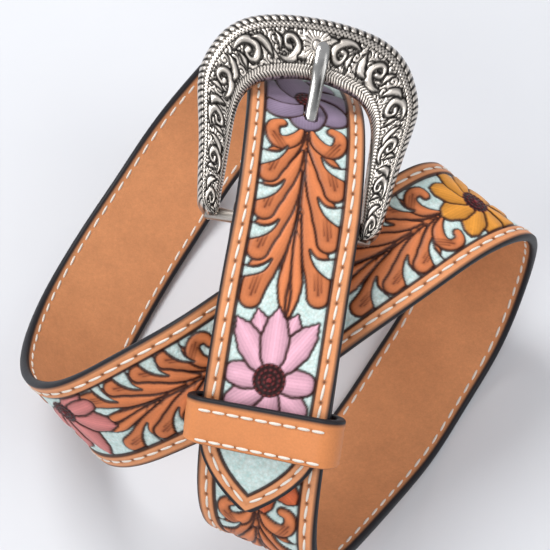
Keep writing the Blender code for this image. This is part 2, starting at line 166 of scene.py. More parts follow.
def smooth_frames(lines, step, extra=()):
    """Frames along the cubic, as an array of centre, tangent, ruling and normal."""
    places = run_along(lines[:, :3])
    at = np.linspace(0.0, places[-1], int(round(places[-1] / step)) + 1)
    at = np.union1d(at, np.array(extra)) if extra else at
    curve = cubic_at(places, lines, cubic_bends(places, lines), at)
    centres = curve[:, :3]
    tangents = np.gradient(centres, at, axis=0)
    tangents /= np.linalg.norm(tangents, axis=1)[:, None]
    rulings = curve[:, 3:] - (curve[:, 3:] * tangents).sum(axis=1)[:, None] * tangents
    rulings /= np.linalg.norm(rulings, axis=1)[:, None]
    return np.stack([centres, tangents, rulings, np.cross(rulings, tangents)], axis=1)


def strap_lines():
    """Stations of the whole strap, with the billet a layer above the run to the buckle."""
    run, turns = row_values(RUN), row_values(TURNS)
    lower = smooth_frames(np.vstack([turns[-2:], run, turns[:1]]), SECTION_STEP / 2.0)
    ends = [int(np.argmin(np.linalg.norm(lower[:, 0] - run[k, :3], axis=1))) for k in (0, -1)]
    part = lower[ends[0] : ends[1] + 1]
    under = np.hstack([part[:, 0], part[:, 2]])
    billet = np.hstack([part[:, 0] + part[:, 3] * LAYER, part[:, 2]])
    return np.vstack([billet, turns, under])


def coil_shift(frames):
    """Brings the middle of the coil over the origin and its lowest point just under the floor."""
    reach = np.abs(frames[:, 2, 2]) * STRAP_WIDTH + np.abs(frames[:, 3, 2]) * STRAP_THICK
    lowest = (frames[:, 0, 2] - reach / 2.0).min()
    edges = np.vstack([frames[:, 0] + side * frames[:, 2] * STRAP_WIDTH / 2.0 for side in (-1.0, 1.0)])
    middle = (edges.min(axis=0) + edges.max(axis=0)) / 2.0
    return np.array((-middle[0], -middle[1], -lowest - SETTLE_DEPTH))


LINES = strap_lines()
TIP_SECTIONS = tuple(TIP_LENGTH * share for share in (0.02, 0.05, 0.10, 0.25, 0.40))
COARSE = smooth_frames(LINES, SECTION_STEP, TIP_SECTIONS)
SHIFT = coil_shift(COARSE)
COARSE[:, 0] += SHIFT
print("shift of the coil", SHIFT)

# %% [markdown]
# At the buckle the strap turns round the heel bar and runs back under itself. The fine line
# goes on round that fold, so a place on the leather is just its distance from the billet's tip
# and its distance from the middle line.

# %% Places on the leather, in millimetres
MM = 0.001
FINE_STEP = 0.00025
FOLD_STEPS = 60


def whole_line():
    """Fine frames of the strap, the fold and the return."""
    fine = smooth_frames(LINES, FINE_STEP)
    fine[:, 0] += SHIFT
    centre, tangent, ruling, normal = COARSE[-1]
    bar = centre - normal * FOLD_RADIUS
    rows = []
    for k in range(1, FOLD_STEPS + 1):
        turn = math.pi * k / FOLD_STEPS
        out = math.cos(turn) * normal + math.sin(turn) * tangent
        way = math.cos(turn) * tangent - math.sin(turn) * normal
        rows.append((bar + out * FOLD_RADIUS, way, ruling, out))
    reach = run_along(fine[::-1, 0])
    for i in range(4, int(np.searchsorted(reach, RETURN_LENGTH)), 4):
        c, t, r, n = fine[len(fine) - 1 - i]
        share = min(reach[i] / RETURN_CLOSES, 1.0)
        drop = 2.0 * FOLD_RADIUS + (LAYER - 2.0 * FOLD_RADIUS) * share * share * (3.0 - 2.0 * share)
        rows.append((c - n * drop, -t, r, -n))
    return np.concatenate([fine, np.array(rows)]), len(fine)


LINE, MAIN_COUNT = whole_line()
PLACES = run_along(LINE[:, 0]) / MM
STRAP_END = PLACES[MAIN_COUNT - 1]
LEATHER_END = PLACES[-1]
HALF = STRAP_WIDTH / 2.0 / MM
THICK = STRAP_THICK / MM


def frames_at(s):
    """Centre, tangent, ruling and normal at places along the strap."""
    flat = LINE.reshape(len(LINE), 12)
    found = np.stack([np.interp(s, PLACES, column) for column in flat.T], axis=-1)
    found = found.reshape(np.shape(s) + (4, 3))
    found[..., 1:, :] /= np.linalg.norm(found[..., 1:, :], axis=-1)[..., None]
    return found


def on_strap(s, v, n):
    """Points at a place s along, v across and n out of the strap's middle layer."""
    at = frames_at(s)
    point = at[..., 0, :] + (at[..., 2, :] * v[..., None] + at[..., 3, :] * n[..., None]) * MM
    point[..., 2] = np.maximum(point[..., 2], 0.0)
    return point


def tip_half(s):
    """Half width of the billet near its tip."""
    left = np.clip(1.0 - s * MM / TIP_LENGTH, 0.0, 1.0) ** TIP_FULLNESS
    return (TIP_BLUNT + (STRAP_WIDTH / 2.0 - TIP_BLUNT) * (1.0 - left)) / MM


def tip_slope(s):
    """Slope of the billet's edge near its tip."""
    return (tip_half(s + 0.1) - tip_half(np.maximum(s - 0.1, 0.0))) / 0.2


def tip_lean(s):
    """How far the point of the billet stands off the middle line."""
    return -TIP_LEAN / MM * np.clip(1.0 - s * MM / TIP_LENGTH, 0.0, 1.0)


def edge_distance(s, v):
    """Distance from the cut edge of the leather, with v as on the full width."""
    return tip_half(s) * (1.0 - np.abs(v) / HALF) / np.sqrt(1.0 + tip_slope(s) ** 2)


print(f"leather runs {STRAP_END:.1f} mm to the heel bar, {LEATHER_END:.1f} mm with its return")

# %% [markdown]
# Western tooling is cut with a swivel knife, bevelled, and stamped down to a stippled ground,
# then painted. A canvas holds the height, the paint and the amount of stippled ground for a
# grid of places. Petals, leaves and scrolls are all one thing on it: a stroke along a bent
# spine, wide in one place and thin in another, with a cut line round it.

# %% Paints
def srgb(*levels):
    """Linear colour from screen levels."""
    share = np.array(levels) / 255.0
    return np.where(share > 0.04045, ((share + 0.055) / 1.055) ** 2.4, share / 12.92)


TAN = srgb(196, 112, 66)
TAN_LIGHT = srgb(214, 126, 78)
BORDER = srgb(214, 144, 98)
RAW = srgb(212, 146, 100)
CUT = srgb(48, 17, 11)
BLACK_EDGE = srgb(34, 33, 37)
TURQUOISE = srgb(182, 214, 211)
EYE = srgb(96, 44, 26)
PINK = srgb(228, 174, 192)
PURPLE = srgb(148, 130, 154)
CORAL = srgb(208, 126, 122)
YELLOW = srgb(226, 152, 60)
ORANGE = srgb(216, 106, 62)
MAROON = srgb(66, 20, 22)
THREAD = srgb(232, 224, 212)
GROUND_LEVEL = -0.52
MOTIF_LEVEL = -0.30
print("sunk ground at", GROUND_LEVEL, "mm, motifs at", MOTIF_LEVEL, "mm")

# %% The canvas
def bent_line(points, pieces=4):
    """Smooth line through a few points."""
    points = np.array(points, float)
    places = run_along(points)
    at = np.linspace(0.0, places[-1], pieces * (len(points) - 1) + 1)
    return cubic_at(places, points, cubic_bends(places, points), at)


BODY_SOFT = 0.3
STROKE_REACH = 0.8
CUT_FIRM = 2.0
CUT_HALF = 0.36
CROWN_SHARE = 0.9
STRIPE_PITCH = 0.95
STRIPE_DEEP = 0.10
STRIPE_PAINT = 0.22
# share of the paint left at the edge of a stroke, where the shade of its bevel is painted
EDGE_PAINTED_SHADE = 0.62
PAINT_COVER = 0.92
BEAD_TALL = 0.34
DOME_SHARE = 0.7


class Canvas:
    """Height, paint and ground over a grid of places, in millimetres."""

    def __init__(self, s, v, ground, level):
        self.s, self.v = s, v
        self.height = np.full((len(s), len(v)), level)
        self.paint = np.tile(ground, (len(s), len(v), 1))
        self.ground = np.ones((len(s), len(v)))

    def window(self, points, reach):
        """The part of the grid round some points."""
        low, high = points.min(axis=0) - reach, points.max(axis=0) + reach
        rows = slice(*np.searchsorted(self.s, (low[0], high[0])))
        cols = slice(*np.searchsorted(self.v, (low[1], high[1])))
        return rows, cols, *np.meshgrid(self.s[rows], self.v[cols], indexing="ij")

    def stroke(self, spine, widths, colour, rise=0.36, cut=0.24, stripes=0.0, level=MOTIF_LEVEL,
               dark=CUT, ground=0.0):
        """A crowned petal, leaf or scroll with a knife cut round it, and shade painted towards its edge."""
        line = bent_line(spine)
        share = np.linspace(0.0, 1.0, len(line))
        wide = np.interp(share, np.linspace(0.0, 1.0, len(widths)), widths)
        rows, cols, s, v = self.window(line, wide.max() + STROKE_REACH)
        if not s.size:
            return
        best, width, aside = np.full(s.shape, -9.0), np.ones(s.shape), np.zeros(s.shape)
        for a, b, wide_a, wide_b in zip(line[:-1], line[1:], wide[:-1], wide[1:]):
            way = b - a
            t = np.clip(((s - a[0]) * way[0] + (v - a[1]) * way[1]) / (way @ way), 0.0, 1.0)
            off_s, off_v = s - a[0] - t * way[0], v - a[1] - t * way[1]
            here = wide_a + (wide_b - wide_a) * t
            inside = here - np.hypot(off_s, off_v)
            better = inside > best
            best = np.where(better, inside, best)
            width = np.where(better, here, width)
            turn = (way[0] * off_v - way[1] * off_s) / np.linalg.norm(way)
            aside = np.where(better, turn, aside)
        body = np.clip(best / BODY_SOFT + 0.5, 0.0, 1.0)
        fill = np.clip(best / (CROWN_SHARE * width + 0.05), 0.0, 1.0)
        line_cut = np.clip(CUT_FIRM * np.exp(-((best / CUT_HALF) ** 2)), 0.0, 1.0)
        crown = level + rise * (1.0 - (1.0 - fill) ** 2)
        ripple = np.cos(aside * 2.0 * math.pi / STRIPE_PITCH) * np.clip(best / STROKE_REACH, 0.0, 1.0)
        ripple *= stripes
        height = self.height[rows, cols]
        height[...] = height * (1.0 - body) + (crown + STRIPE_DEEP * ripple) * body - cut * line_cut
        # The paint darkens towards the edge of each stroke: painted shade of its bevel.
        tone = (EDGE_PAINTED_SHADE + (1.0 - EDGE_PAINTED_SHADE) * fill + STRIPE_PAINT * ripple)[..., None]
        paint = self.paint[rows, cols]
        body, line_cut = body[..., None], PAINT_COVER * line_cut[..., None]
        paint[...] = (paint * (1.0 - body) + colour * tone * body) * (1.0 - line_cut) + dark * line_cut
        body, line_cut = body[..., 0], line_cut[..., 0]
        bare = self.ground[rows, cols] * (1.0 - body) + ground * body
        self.ground[rows, cols] = bare * (1.0 - line_cut)

    def streak(self, ends, width, colour, depth, strength=0.9):
        """A soft shaded line that fades along its length."""
        a, b = np.array(ends, float)
        rows, cols, s, v = self.window(np.array((a, b)), 2.5 * width)
        if not s.size:
            return
        way = b - a
        t = np.clip(((s - a[0]) * way[0] + (v - a[1]) * way[1]) / (way @ way), 0.0, 1.0)
        away = np.hypot(s - a[0] - t * way[0], v - a[1] - t * way[1])
        soft = strength * (1.0 - t) ** 0.6 * np.exp(-((away / width) ** 2))
        self.height[rows, cols] -= depth * soft
        self.paint[rows, cols] += (colour - self.paint[rows, cols]) * soft[..., None]

    def boss(self, at, radius, colour, bead, rise=0.40):
        """A domed flower centre set with beads in rings, with highlight and shade painted on the beads."""
        rows, cols, s, v = self.window(np.array([at]), radius + 1.0)
        if not s.size:
            return
        away, turn = np.hypot(s - at[0], v - at[1]), np.arctan2(v - at[1], s - at[0])
        body = np.clip((radius - away) / BODY_SOFT, 0.0, 1.0)
        ring = np.round(away / bead)
        count = np.maximum(np.round(2.0 * math.pi * ring), 1.0)
        bumps = np.cos(2.0 * math.pi * (away / bead - ring)) * (0.5 + 0.5 * np.cos(turn * count))
        bumps = np.clip(np.where(ring == 0, 1.0, bumps), 0.0, 1.0)
        dome = MOTIF_LEVEL + rise * np.sqrt(np.clip(1.0 - (away / radius) ** 2, 0.0, 1.0)) * DOME_SHARE
        height = self.height[rows, cols]
        height[...] = height * (1.0 - body) + (dome + BEAD_TALL * bumps) * body
        paint = self.paint[rows, cols]
        # The beads are lighter on their tops, partly their own lighter brown and partly painted highlight,
        # and darker between them, painted shade.
        bead_highlight_and_shade = colour * (0.35 + 3.0 * bumps[..., None])
        paint[...] = paint * (1.0 - body[..., None]) + bead_highlight_and_shade * body[..., None]
        self.ground[rows, cols] *= 1.0 - body

    def dab(self, at, radius, colour, depth):
        """A small dark dent, such as a stitch hole."""
        rows, cols, s, v = self.window(np.array([at]), 3.0 * radius)
        if s.size:
            soft = np.exp(-(((s - at[0]) ** 2 + (v - at[1]) ** 2) / radius**2))
            self.height[rows, cols] -= depth * soft
            self.paint[rows, cols] += (colour - self.paint[rows, cols]) * 0.9 * soft[..., None]


print("canvas ready")

# %% [markdown]
# Two motifs carry the whole belt. A flower has petals of its own colour round a beaded centre.
# A palmette fills the way from one flower to the next: leaves with a round bulb and a tail that
# meets the others on the middle line, closed by two curls. Between the leaves, crescents of the
# sunk turquoise ground are cut back out along the border.

# %% Motifs
PALMETTE = (60.5, 126.7)
PALMETTE_LEAVES = (
    ((67.5, 10.0), (75.0, 8.8), (84.0, 5.5), (95.0, 2.6), (106.0, 1.0)),
    ((64.5, -9.6), (71.0, -8.4), (79.0, -5.3), (88.0, -2.4), (97.0, -0.7)),
    ((79.0, -10.0), (85.0, -8.6), (92.0, -5.3), (99.0, -2.4), (106.0, -0.8)),
    ((85.0, 10.2), (91.5, 8.8), (99.0, 5.4), (106.5, 2.5), (113.0, 1.0)),
    ((92.0, -10.2), (97.4, -8.8), (103.0, -5.4), (108.5, -2.4), (113.0, -0.8)),
    ((101.0, 10.3), (106.0, 8.8), (111.5, 5.4), (116.0, 2.5), (120.0, 1.0)),
    ((104.4, -10.2), (108.8, -8.7), (113.0, -5.4), (117.0, -2.4), (120.5, -0.7)),
)
LEAF_WIDTHS = (3.4, 4.2, 3.4, 2.1, 0.6)
PALMETTE_CURLS = (
    ((124.5, 0.9), (120.0, 2.4), (116.0, 5.0), (115.0, 8.6), (118.6, 10.9), (122.6, 10.2), (123.6, 8.3)),
    ((124.5, -0.3), (120.4, -1.9), (116.6, -4.4), (115.6, -8.0), (119.0, -10.4), (122.8, -9.6),
     (123.6, -7.8)),
)
CURL_WIDTHS = (0.5, 1.2, 2.2, 2.7, 2.4, 2.2, 1.8)
# aside, first and last reach along the leaf, width, strength
VEINS = (
    (0.0, 0.6, 9.0, 1.30, 0.50), (-1.0, 2.0, 7.6, 0.30, 0.80), (0.0, 0.4, 9.6, 0.32, 0.95),
    (1.0, 1.4, 8.6, 0.30, 0.80),
)
# places of the small chevrons on the middle line
CHEVRONS = (84.0, 88.0, 92.0, 108.0, 112.0, 116.0)
# place at the border, which side, half of its length there
CRESCENTS = (
    (76.9, 1.0, 3.7), (93.5, 1.0, 3.4), (107.4, 1.0, 2.5),
    (71.9, -1.0, 2.0), (84.5, -1.0, 3.0), (97.5, -1.0, 3.2), (109.4, -1.0, 3.0),
)
STEM = ((61.0, 1.4), (74.0, 0.9), (92.0, 0.6), (108.0, 0.5), (121.0, 0.4))
STEM_WIDTHS = (1.0, 3.4, 4.6, 4.4, 1.0)
BUD_WIDTHS = (0.6, 1.8, 1.3, 0.4)


def palmette(canvas, start, end):
    """The fan of leaves, stretched between two places."""
    scale = (end - start) / (PALMETTE[1] - PALMETTE[0])

    def placed(points):
        return [(start + (s - PALMETTE[0]) * scale, v) for s, v in points]

    slim = 0.55 + 0.45 * scale
    canvas.stroke(placed(STEM), STEM_WIDTHS, TAN, rise=0.10, stripes=0.9)
    for leaf in PALMETTE_LEAVES:
        canvas.stroke(placed(leaf), [width * slim for width in LEAF_WIDTHS], TAN_LIGHT, stripes=0.12)
        veins(canvas, placed(leaf), slim)
    for curl in PALMETTE_CURLS:
        canvas.stroke(placed(curl), [width * slim for width in CURL_WIDTHS], TAN_LIGHT)
        veins(canvas, placed(curl[4:2:-1]), slim)
    for side in (-1.0, 1.0):
        bud = ((60.5, 1.5 + side * 0.8), (66.0, 1.4 + side * 1.9), (76.0, 1.0 + side * 1.3), (92.0, 0.7))
        canvas.stroke(placed(bud), BUD_WIDTHS, TAN_LIGHT)
    for s in CHEVRONS:
        for side in (-1.0, 1.0):
            canvas.streak(placed(((s + 2.6, 0.5), (s, 0.5 + side * 1.7))), 0.30, CUT, 0.12)
    for s, side, half in CRESCENTS:
        bare = ((s, side * 14.0), (s + 0.3, side * 10.4), (s + 1.8, side * 7.4), (s + 4.6, side * 5.4))
        widths = (half * slim, half * 0.62, 0.9, 0.15)
        canvas.stroke(placed(bare), widths, TURQUOISE, rise=0.0, level=GROUND_LEVEL, ground=1.0)


def veins(canvas, leaf, slim):
    """The dark shade and the fine knife lines in the round end of a leaf."""
    start, way = np.array(leaf[0]), np.array(leaf[1]) - np.array(leaf[0])
    way /= np.linalg.norm(way)
    aside = np.array((-way[1], way[0]))
    for step, first, last, wide, strength in VEINS:
        ends = [start + aside * step * slim + way * reach * slim for reach in (first, last)]
        canvas.streak(ends, wide * slim, EYE, 0.10, strength)


# a petal that reaches further than this ends in a point
POINTED_FROM = 15.9
POINTED_SPREAD = (0.40, 0.85, 1.0, 0.72, 0.10)
ROUND_SPREAD = (0.45, 0.85, 1.0, 0.85)
ROUND_CAP = 0.8
EYE_BEAD = 1.5


def flower(canvas, at, colour, petals, centre):
    """Petals (degrees, reach, half width) drawn in order, and the beaded centre."""
    for degrees, reach, half in petals:
        way = np.array((math.cos(math.radians(degrees)), math.sin(math.radians(degrees))))
        pointed = reach > POINTED_FROM
        spread = POINTED_SPREAD if pointed else ROUND_SPREAD
        last = reach if pointed else reach - half * ROUND_CAP
        spine = [at + way * (centre * 0.5 + (last - centre * 0.5) * k) for k in (0.0, 0.5, 1.0)]
        canvas.stroke(spine, [half * share for share in spread], colour, stripes=0.30)
    canvas.boss(at, centre, MAROON, EYE_BEAD)


def even_petals(count, reach, half, first=0.0):
    """Petals at equal angles."""
    return [(first + 360.0 * k / count, reach, half) for k in range(count)]


PINK_PETALS = (
    (130, 15.0, 4.2), (180, 15.0, 4.4), (-130, 15.0, 4.2), (15, 20.5, 4.4), (-18, 20.8, 4.4),
    (88, 13.4, 4.1), (-86, 13.4, 4.1), (33, 21.5, 4.2), (-36, 20.6, 4.2), (-1, 21.0, 4.3),
)
CORAL_PETALS = ((150, 17, 5.0), (112, 19, 5.0), (-30, 14, 3.4), (78, 20, 5.2), (30, 19, 4.8), (-4, 15, 3.2))
FLOWERS = (
    ((41.3, -0.2), PINK, PINK_PETALS, 5.1),
    ((138.0, 0.0), PURPLE, even_petals(7, 15.7, 6.4, 26.0), 4.2),
    ((229.0, 0.0), YELLOW, even_petals(9, 15.0, 4.4), 4.8),
    ((316.0, 0.0), PINK, even_petals(9, 15.0, 4.4), 4.8),
    ((403.0, -7.5), CORAL, CORAL_PETALS, 4.8),
    ((481.0, 0.0), PURPLE, even_petals(8, 15.0, 5.0), 4.8),
    ((560.0, 1.0), YELLOW, even_petals(9, 16.0, 4.6, 20.0), 4.9),
    ((641.0, 0.0), PINK, even_petals(9, 15.0, 4.4), 4.8),
    ((721.0, 0.0), CORAL, even_petals(8, 15.0, 4.8), 4.8),
    ((801.0, 0.5), ORANGE, even_petals(9, 16.0, 4.6, 12.0), 4.9),
    ((882.0, 0.0), PURPLE, even_petals(8, 15.0, 4.8), 4.8),
)
PALMETTES = (
    (60.5, 126.7), (155.0, 216.0), (245.0, 303.0), (332.0, 388.0), (414.0, 462.0), (499.0, 546.5),
    (576.0, 628.0), (657.0, 708.0), (737.0, 789.0), (817.0, 869.0),
)
print("flowers", len(FLOWERS), "palmettes", len(PALMETTES))

# %% [markdown]
# Round every tooled field runs a plain border: a cut line, a tan band with the stitches sunk
# in it, and a cut edge painted black. It is laid over the motifs last, so they end at it.

# %% The border and the stitches' line
FIELD_EDGE = 5.7
STITCH_IN = 3.3
STITCH_PITCH = 5.8
STITCH_LONG = 4.7
BAND_FADE = 0.3
LINE_FIRM = 2.0
LINE_HALF = 0.48
LINE_DEEP = 0.26
LINE_COVER = 0.96
GROOVE_SHARE = 0.22
GROOVE_HALF = 0.6
EDGE_PAINT = 1.45
EDGE_PAINT_FADE = 0.35


def lay_border(canvas):
    """The cut line, the band and the painted edge, over what was drawn."""
    s, v = np.meshgrid(canvas.s, canvas.v, indexing="ij")
    edge = edge_distance(s, v)
    band = np.clip((FIELD_EDGE - edge) / BAND_FADE, 0.0, 1.0)
    canvas.height[...] = canvas.height * (1.0 - band)
    canvas.ground *= 1.0 - band
    band = band[..., None]
    canvas.paint[...] = canvas.paint * (1.0 - band) + BORDER * band
    line = LINE_FIRM * np.exp(-(((edge - FIELD_EDGE) / LINE_HALF) ** 2))
    line += GROOVE_SHARE * np.exp(-(((edge - STITCH_IN) / GROOVE_HALF) ** 2))
    line = np.clip(line, 0.0, 1.0)
    canvas.height -= LINE_DEEP * line
    line = LINE_COVER * line
    canvas.ground *= 1.0 - line
    line = line[..., None]
    canvas.paint[...] = canvas.paint * (1.0 - line) + CUT * line
    worn = np.clip((EDGE_PAINT - edge) / EDGE_PAINT_FADE, 0.0, 1.0)[..., None]
    canvas.paint[...] = canvas.paint * (1.0 - worn) + BLACK_EDGE * worn


def stitch_line(side, first, last):
    """Places of the stitches on one side of the strap, with their directions."""
    s = np.arange(first, last, 0.2)
    away = tip_half(s) - STITCH_IN * np.sqrt(1.0 + tip_slope(s) ** 2)
    keep = away > 0.4
    s, v = s[keep], (tip_lean(s) + side * away)[keep]
    run = np.concatenate([[0.0], np.cumsum(np.hypot(np.diff(s), np.diff(v)))])
    at = np.arange(STITCH_PITCH * 0.5, run[-1] - STITCH_PITCH * 0.5, STITCH_PITCH)
    middle = np.stack([np.interp(at, run, s), np.interp(at, run, v)], axis=1)
    ahead = np.stack([np.interp(at + 0.4, run, s), np.interp(at + 0.4, run, v)], axis=1)
    way = (ahead - middle) / np.linalg.norm(ahead - middle, axis=1)[:, None]
    return middle, way


STITCHES = [stitch_line(side, 0.0, LEATHER_END - 2.0) for side in (-1.0, 1.0)]
print("stitches on the tooled side:", sum(len(middle) for middle, _ in STITCHES))

# %% [markdown]
# The strap is skinned over rings: about a hundred places across the tooled face, six round each
# edge and about twenty across the plain back. It comes in five stretches, finest where the camera
# sees the tooling. Each stretch paints its own canvas, and its rings take their height from it.

# %% Meshes from grids
def new_object(name, points, faces, smooth=True):
    """An object made of points and faces."""
    mesh = bpy.data.meshes.new(name)
    mesh.from_pydata(np.asarray(points).reshape(-1, 3).tolist(), [], faces)
    mesh.update()
    if smooth:
        mesh.shade_smooth()
    made = bpy.data.objects.new(name, mesh)
    bpy.context.scene.collection.objects.link(made)
    return made


def grid_faces(rows, size, closed=False):
    """Quads between closed rings of equal size."""
    count = rows if closed else rows - 1
    i, k = np.meshgrid(np.arange(count), np.arange(size), indexing="ij")
    j, m = (i + 1) % rows, (k + 1) % size
    quads = np.stack([i * size + k, i * size + m, j * size + m, j * size + k], axis=-1)
    return quads.reshape(-1, 4)


def capped_faces(rows, size):
    """Quads between rings, with both ends closed."""
    faces = grid_faces(rows, size).tolist()
    return faces + [list(range(size))[::-1], [(rows - 1) * size + k for k in range(size)]]


def face_outwards(made):
    """Turns all faces of an object outwards."""
    shape = bmesh.new()
    shape.from_mesh(made.data)
    bmesh.ops.recalc_face_normals(shape, faces=shape.faces)
    shape.to_mesh(made.data)
    shape.free()


def give_paint(made, paint, **masks):
    """Stores paint and masks on the points."""
    layer = made.data.attributes.new("paint", "FLOAT_COLOR", "POINT")
    flat = np.concatenate([paint.reshape(-1, 3), np.ones((paint.size // 3, 1))], axis=1)
    layer.data.foreach_set("color", flat.ravel().astype(np.float32))
    for name, values in masks.items():
        layer = made.data.attributes.new(name, "FLOAT", "POINT")
        layer.data.foreach_set("value", np.asarray(values).ravel().astype(np.float32))


print("mesh helpers ready")

# %% The strap's stretches
EDGE_ROUND = 1.3
FACE_COLUMNS = np.linspace(-HALF + EDGE_ROUND, HALF - EDGE_ROUND, 99)
STITCH_DENT = (0.55, 0.25)
STRETCHES = (
    ("strap_billet", 0.0, 156.0, 0.33),
    ("strap_first_turn", 156.0, 396.0, 0.80),
    ("strap_crossing", 396.0, 580.0, 0.36),
    ("strap_second_turn", 580.0, 765.0, 0.90),
    ("strap_run", 765.0, LEATHER_END, 0.45),
)


def painted_canvas(s):
    """The tooled face of one stretch."""
    canvas = Canvas(s, FACE_COLUMNS, TURQUOISE, GROUND_LEVEL)
    for start, end in PALMETTES:
        palmette(canvas, start, end)
    for at, colour, petals, centre in FLOWERS:
        flower(canvas, np.array(at), colour, petals, centre)
    lay_border(canvas)
    # Each stitch hole is dented and painted dark: painted shade in the hole.
    for middle, way in STITCHES:
        for end in middle + way * STITCH_PITCH / 2.0:
            scale = HALF / tip_half(end[0])
            canvas.dab((end[0], (end[1] - tip_lean(end[0])) * scale), STITCH_DENT[0], CUT, STITCH_DENT[1])
    return canvas


print("stretches:", [name for name, *_ in STRETCHES])

# %% The prong's hole
SLOT_HALF = (PRONG_WIDTH / 2.0 + PRONG_ROOM) / MM
HOLE_SNUG = 1.2
FOLD_SLOT = (5.3, 5.5)
BILLET_REACH = 170.0


def hole_centre():
    """Where the prong's hole lies on the billet: from the tip, and off the middle line."""
    centre, tangent, ruling, normal = COARSE[-1]
    billet = LINE[: int(np.searchsorted(PLACES, BILLET_REACH)), 0] - (centre - normal * FOLD_RADIUS)
    nearest = int(np.argmin(np.abs(billet @ tangent - HOLE_PLACE)))
    return float(PLACES[nearest]), float(-(billet[nearest] @ ruling) / MM)


HOLE_AT, HOLE_ASIDE = hole_centre()


def window_of(s, v):
    """True inside the prong's hole and the slot in the fold."""
    straight = HOLE_LENGTH / 2.0 / MM - SLOT_HALF
    along = np.maximum(np.abs(s - HOLE_AT) - straight, 0.0)
    hole = np.hypot(along * HOLE_SNUG, v - HOLE_ASIDE) < SLOT_HALF / HOLE_SNUG
    fold = (s > STRAP_END - FOLD_SLOT[0]) & (s < STRAP_END + math.pi * FOLD_RADIUS / MM + FOLD_SLOT[1])
    return hole | (fold & (np.abs(v) < SLOT_HALF))


print(f"prong hole at {HOLE_AT:.1f} mm, {HOLE_ASIDE:.2f} mm off the middle line")

# %% The strap
BACK_COLUMNS = np.concatenate([[17.7, 17.3, 16.9], np.linspace(16.0, -16.0, 15), [-16.9, -17.3, -17.7]])
EDGE_TURNS = np.radians(np.linspace(64.0, -64.0, 6))
EDGE_SHAPE = 0.7
EDGE_LAST = math.radians(72.0)
STAIN_FROM = 16.6
STAIN_FADE = 0.8
TIP_ROUND = 0.9
TIP_LEAST = 0.25


def build_stretch(name, first, last, step):
    """One stretch of the strap, with its tooled face, edges and plain back."""
    s = np.linspace(first, last, int(round((last - first) / step)) + 1)
    if first == 0.0:
        s = np.union1d(s, np.linspace(0.0, 2.0, 14))
    canvas = painted_canvas(s)
    turn_v = HALF - EDGE_ROUND + EDGE_ROUND * np.cos(EDGE_TURNS) ** EDGE_SHAPE
    turn_n = THICK / 2.0 * np.sin(EDGE_TURNS) / math.sin(EDGE_LAST)
    v = np.concatenate([FACE_COLUMNS, turn_v, BACK_COLUMNS, -turn_v[::-1]])
    n = np.concatenate([
        np.full(len(FACE_COLUMNS), THICK / 2.0), turn_n,
        np.full(len(BACK_COLUMNS), -THICK / 2.0), turn_n[::-1],
    ])
    rows, size = len(s), len(v)
    level = np.zeros((rows, size))
    paint = np.tile(BLACK_EDGE, (rows, size, 1))
    ground, plain = np.zeros((rows, size)), np.zeros((rows, size))
    face = slice(0, len(FACE_COLUMNS))
    back_from = len(FACE_COLUMNS) + len(turn_v)
    back = slice(back_from, back_from + len(BACK_COLUMNS))
    level[:, face], paint[:, face], ground[:, face] = canvas.height, canvas.paint, canvas.ground
    stain = np.clip((np.abs(BACK_COLUMNS) - STAIN_FROM) / STAIN_FADE, 0.0, 1.0)[:, None]
    paint[:, back] = RAW * (1.0 - stain) + BLACK_EDGE * stain
    plain[:, back] = 1.0
    deep, along = np.meshgrid(n, s)
    blunt = np.sqrt(np.clip(1.0 - (1.0 - np.clip(along / TIP_ROUND, 0.0, 1.0)) ** 2, 0.0, 1.0))
    across = tip_lean(along) + v[None, :] * tip_half(along) / HALF
    points = on_strap(along, across, (deep + level) * (TIP_LEAST + (1.0 - TIP_LEAST) * blunt))
    quads = grid_faces(rows, size)
    middle_s = along.ravel()[quads].mean(axis=1)
    middle_v = np.tile(v, rows)[quads].mean(axis=1)
    is_open = window_of(middle_s, middle_v) & (np.abs(middle_v) < 3.0 * SLOT_HALF)
    kept = quads[~is_open]
    faces = kept.tolist()
    flat = points.reshape(-1, 3)
    lows = on_strap(along, across, np.full(along.shape, -THICK / 2.0)).reshape(-1, 3)
    extra, where = [], {}
    if is_open.any():
        faces += skirt(quads[is_open], kept, size, len(FACE_COLUMNS), len(flat), lows, extra, where)
    if first == 0.0:
        faces.append(list(range(size))[::-1])
    if last == LEATHER_END:
        faces.append([(rows - 1) * size + k for k in range(size)])
    flat = np.vstack([flat, np.array(extra)]) if extra else flat
    made = new_object(name, flat, faces)
    rest = len(flat) - rows * size
    # The feet of the hole walls are painted dark: painted shade inside the holes.
    paint = np.vstack([paint.reshape(-1, 3), np.tile(CUT, (rest, 1))])
    ground = np.concatenate([ground.ravel(), np.zeros(rest)])
    plain = np.concatenate([plain.ravel(), np.zeros(rest)])
    give_paint(made, paint, ground=ground, plain=plain)
    return made


def skirt(opened, kept, size, face_count, first_new, lows, extra, where):
    """Walls of a hole, from its rim on the tooled face down to the back."""
    on_face = (opened % size < face_count).all(axis=1)
    edges = {}
    for quad in opened[on_face].tolist():
        for k in range(4):
            edges[(quad[k], quad[(k + 1) % 4])] = True
    walls = []
    for a, b in edges:
        if (b, a) in edges:
            continue
        for point in (a, b):
            if point not in where:
                where[point] = first_new + len(extra)
                extra.append(lows[point])
        walls.append([a, b, where[b], where[a]])
    return walls


STRAP = [build_stretch(*stretch) for stretch in STRETCHES]
print("strap triangles:", [len(piece.data.polygons) * 2 for piece in STRAP])

# %% [markdown]
# Saddle stitching is waxed white thread. Each stitch is a short rounded bar, a little fatter in
# its middle, sunk in the groove between two holes. All of them share one mesh.

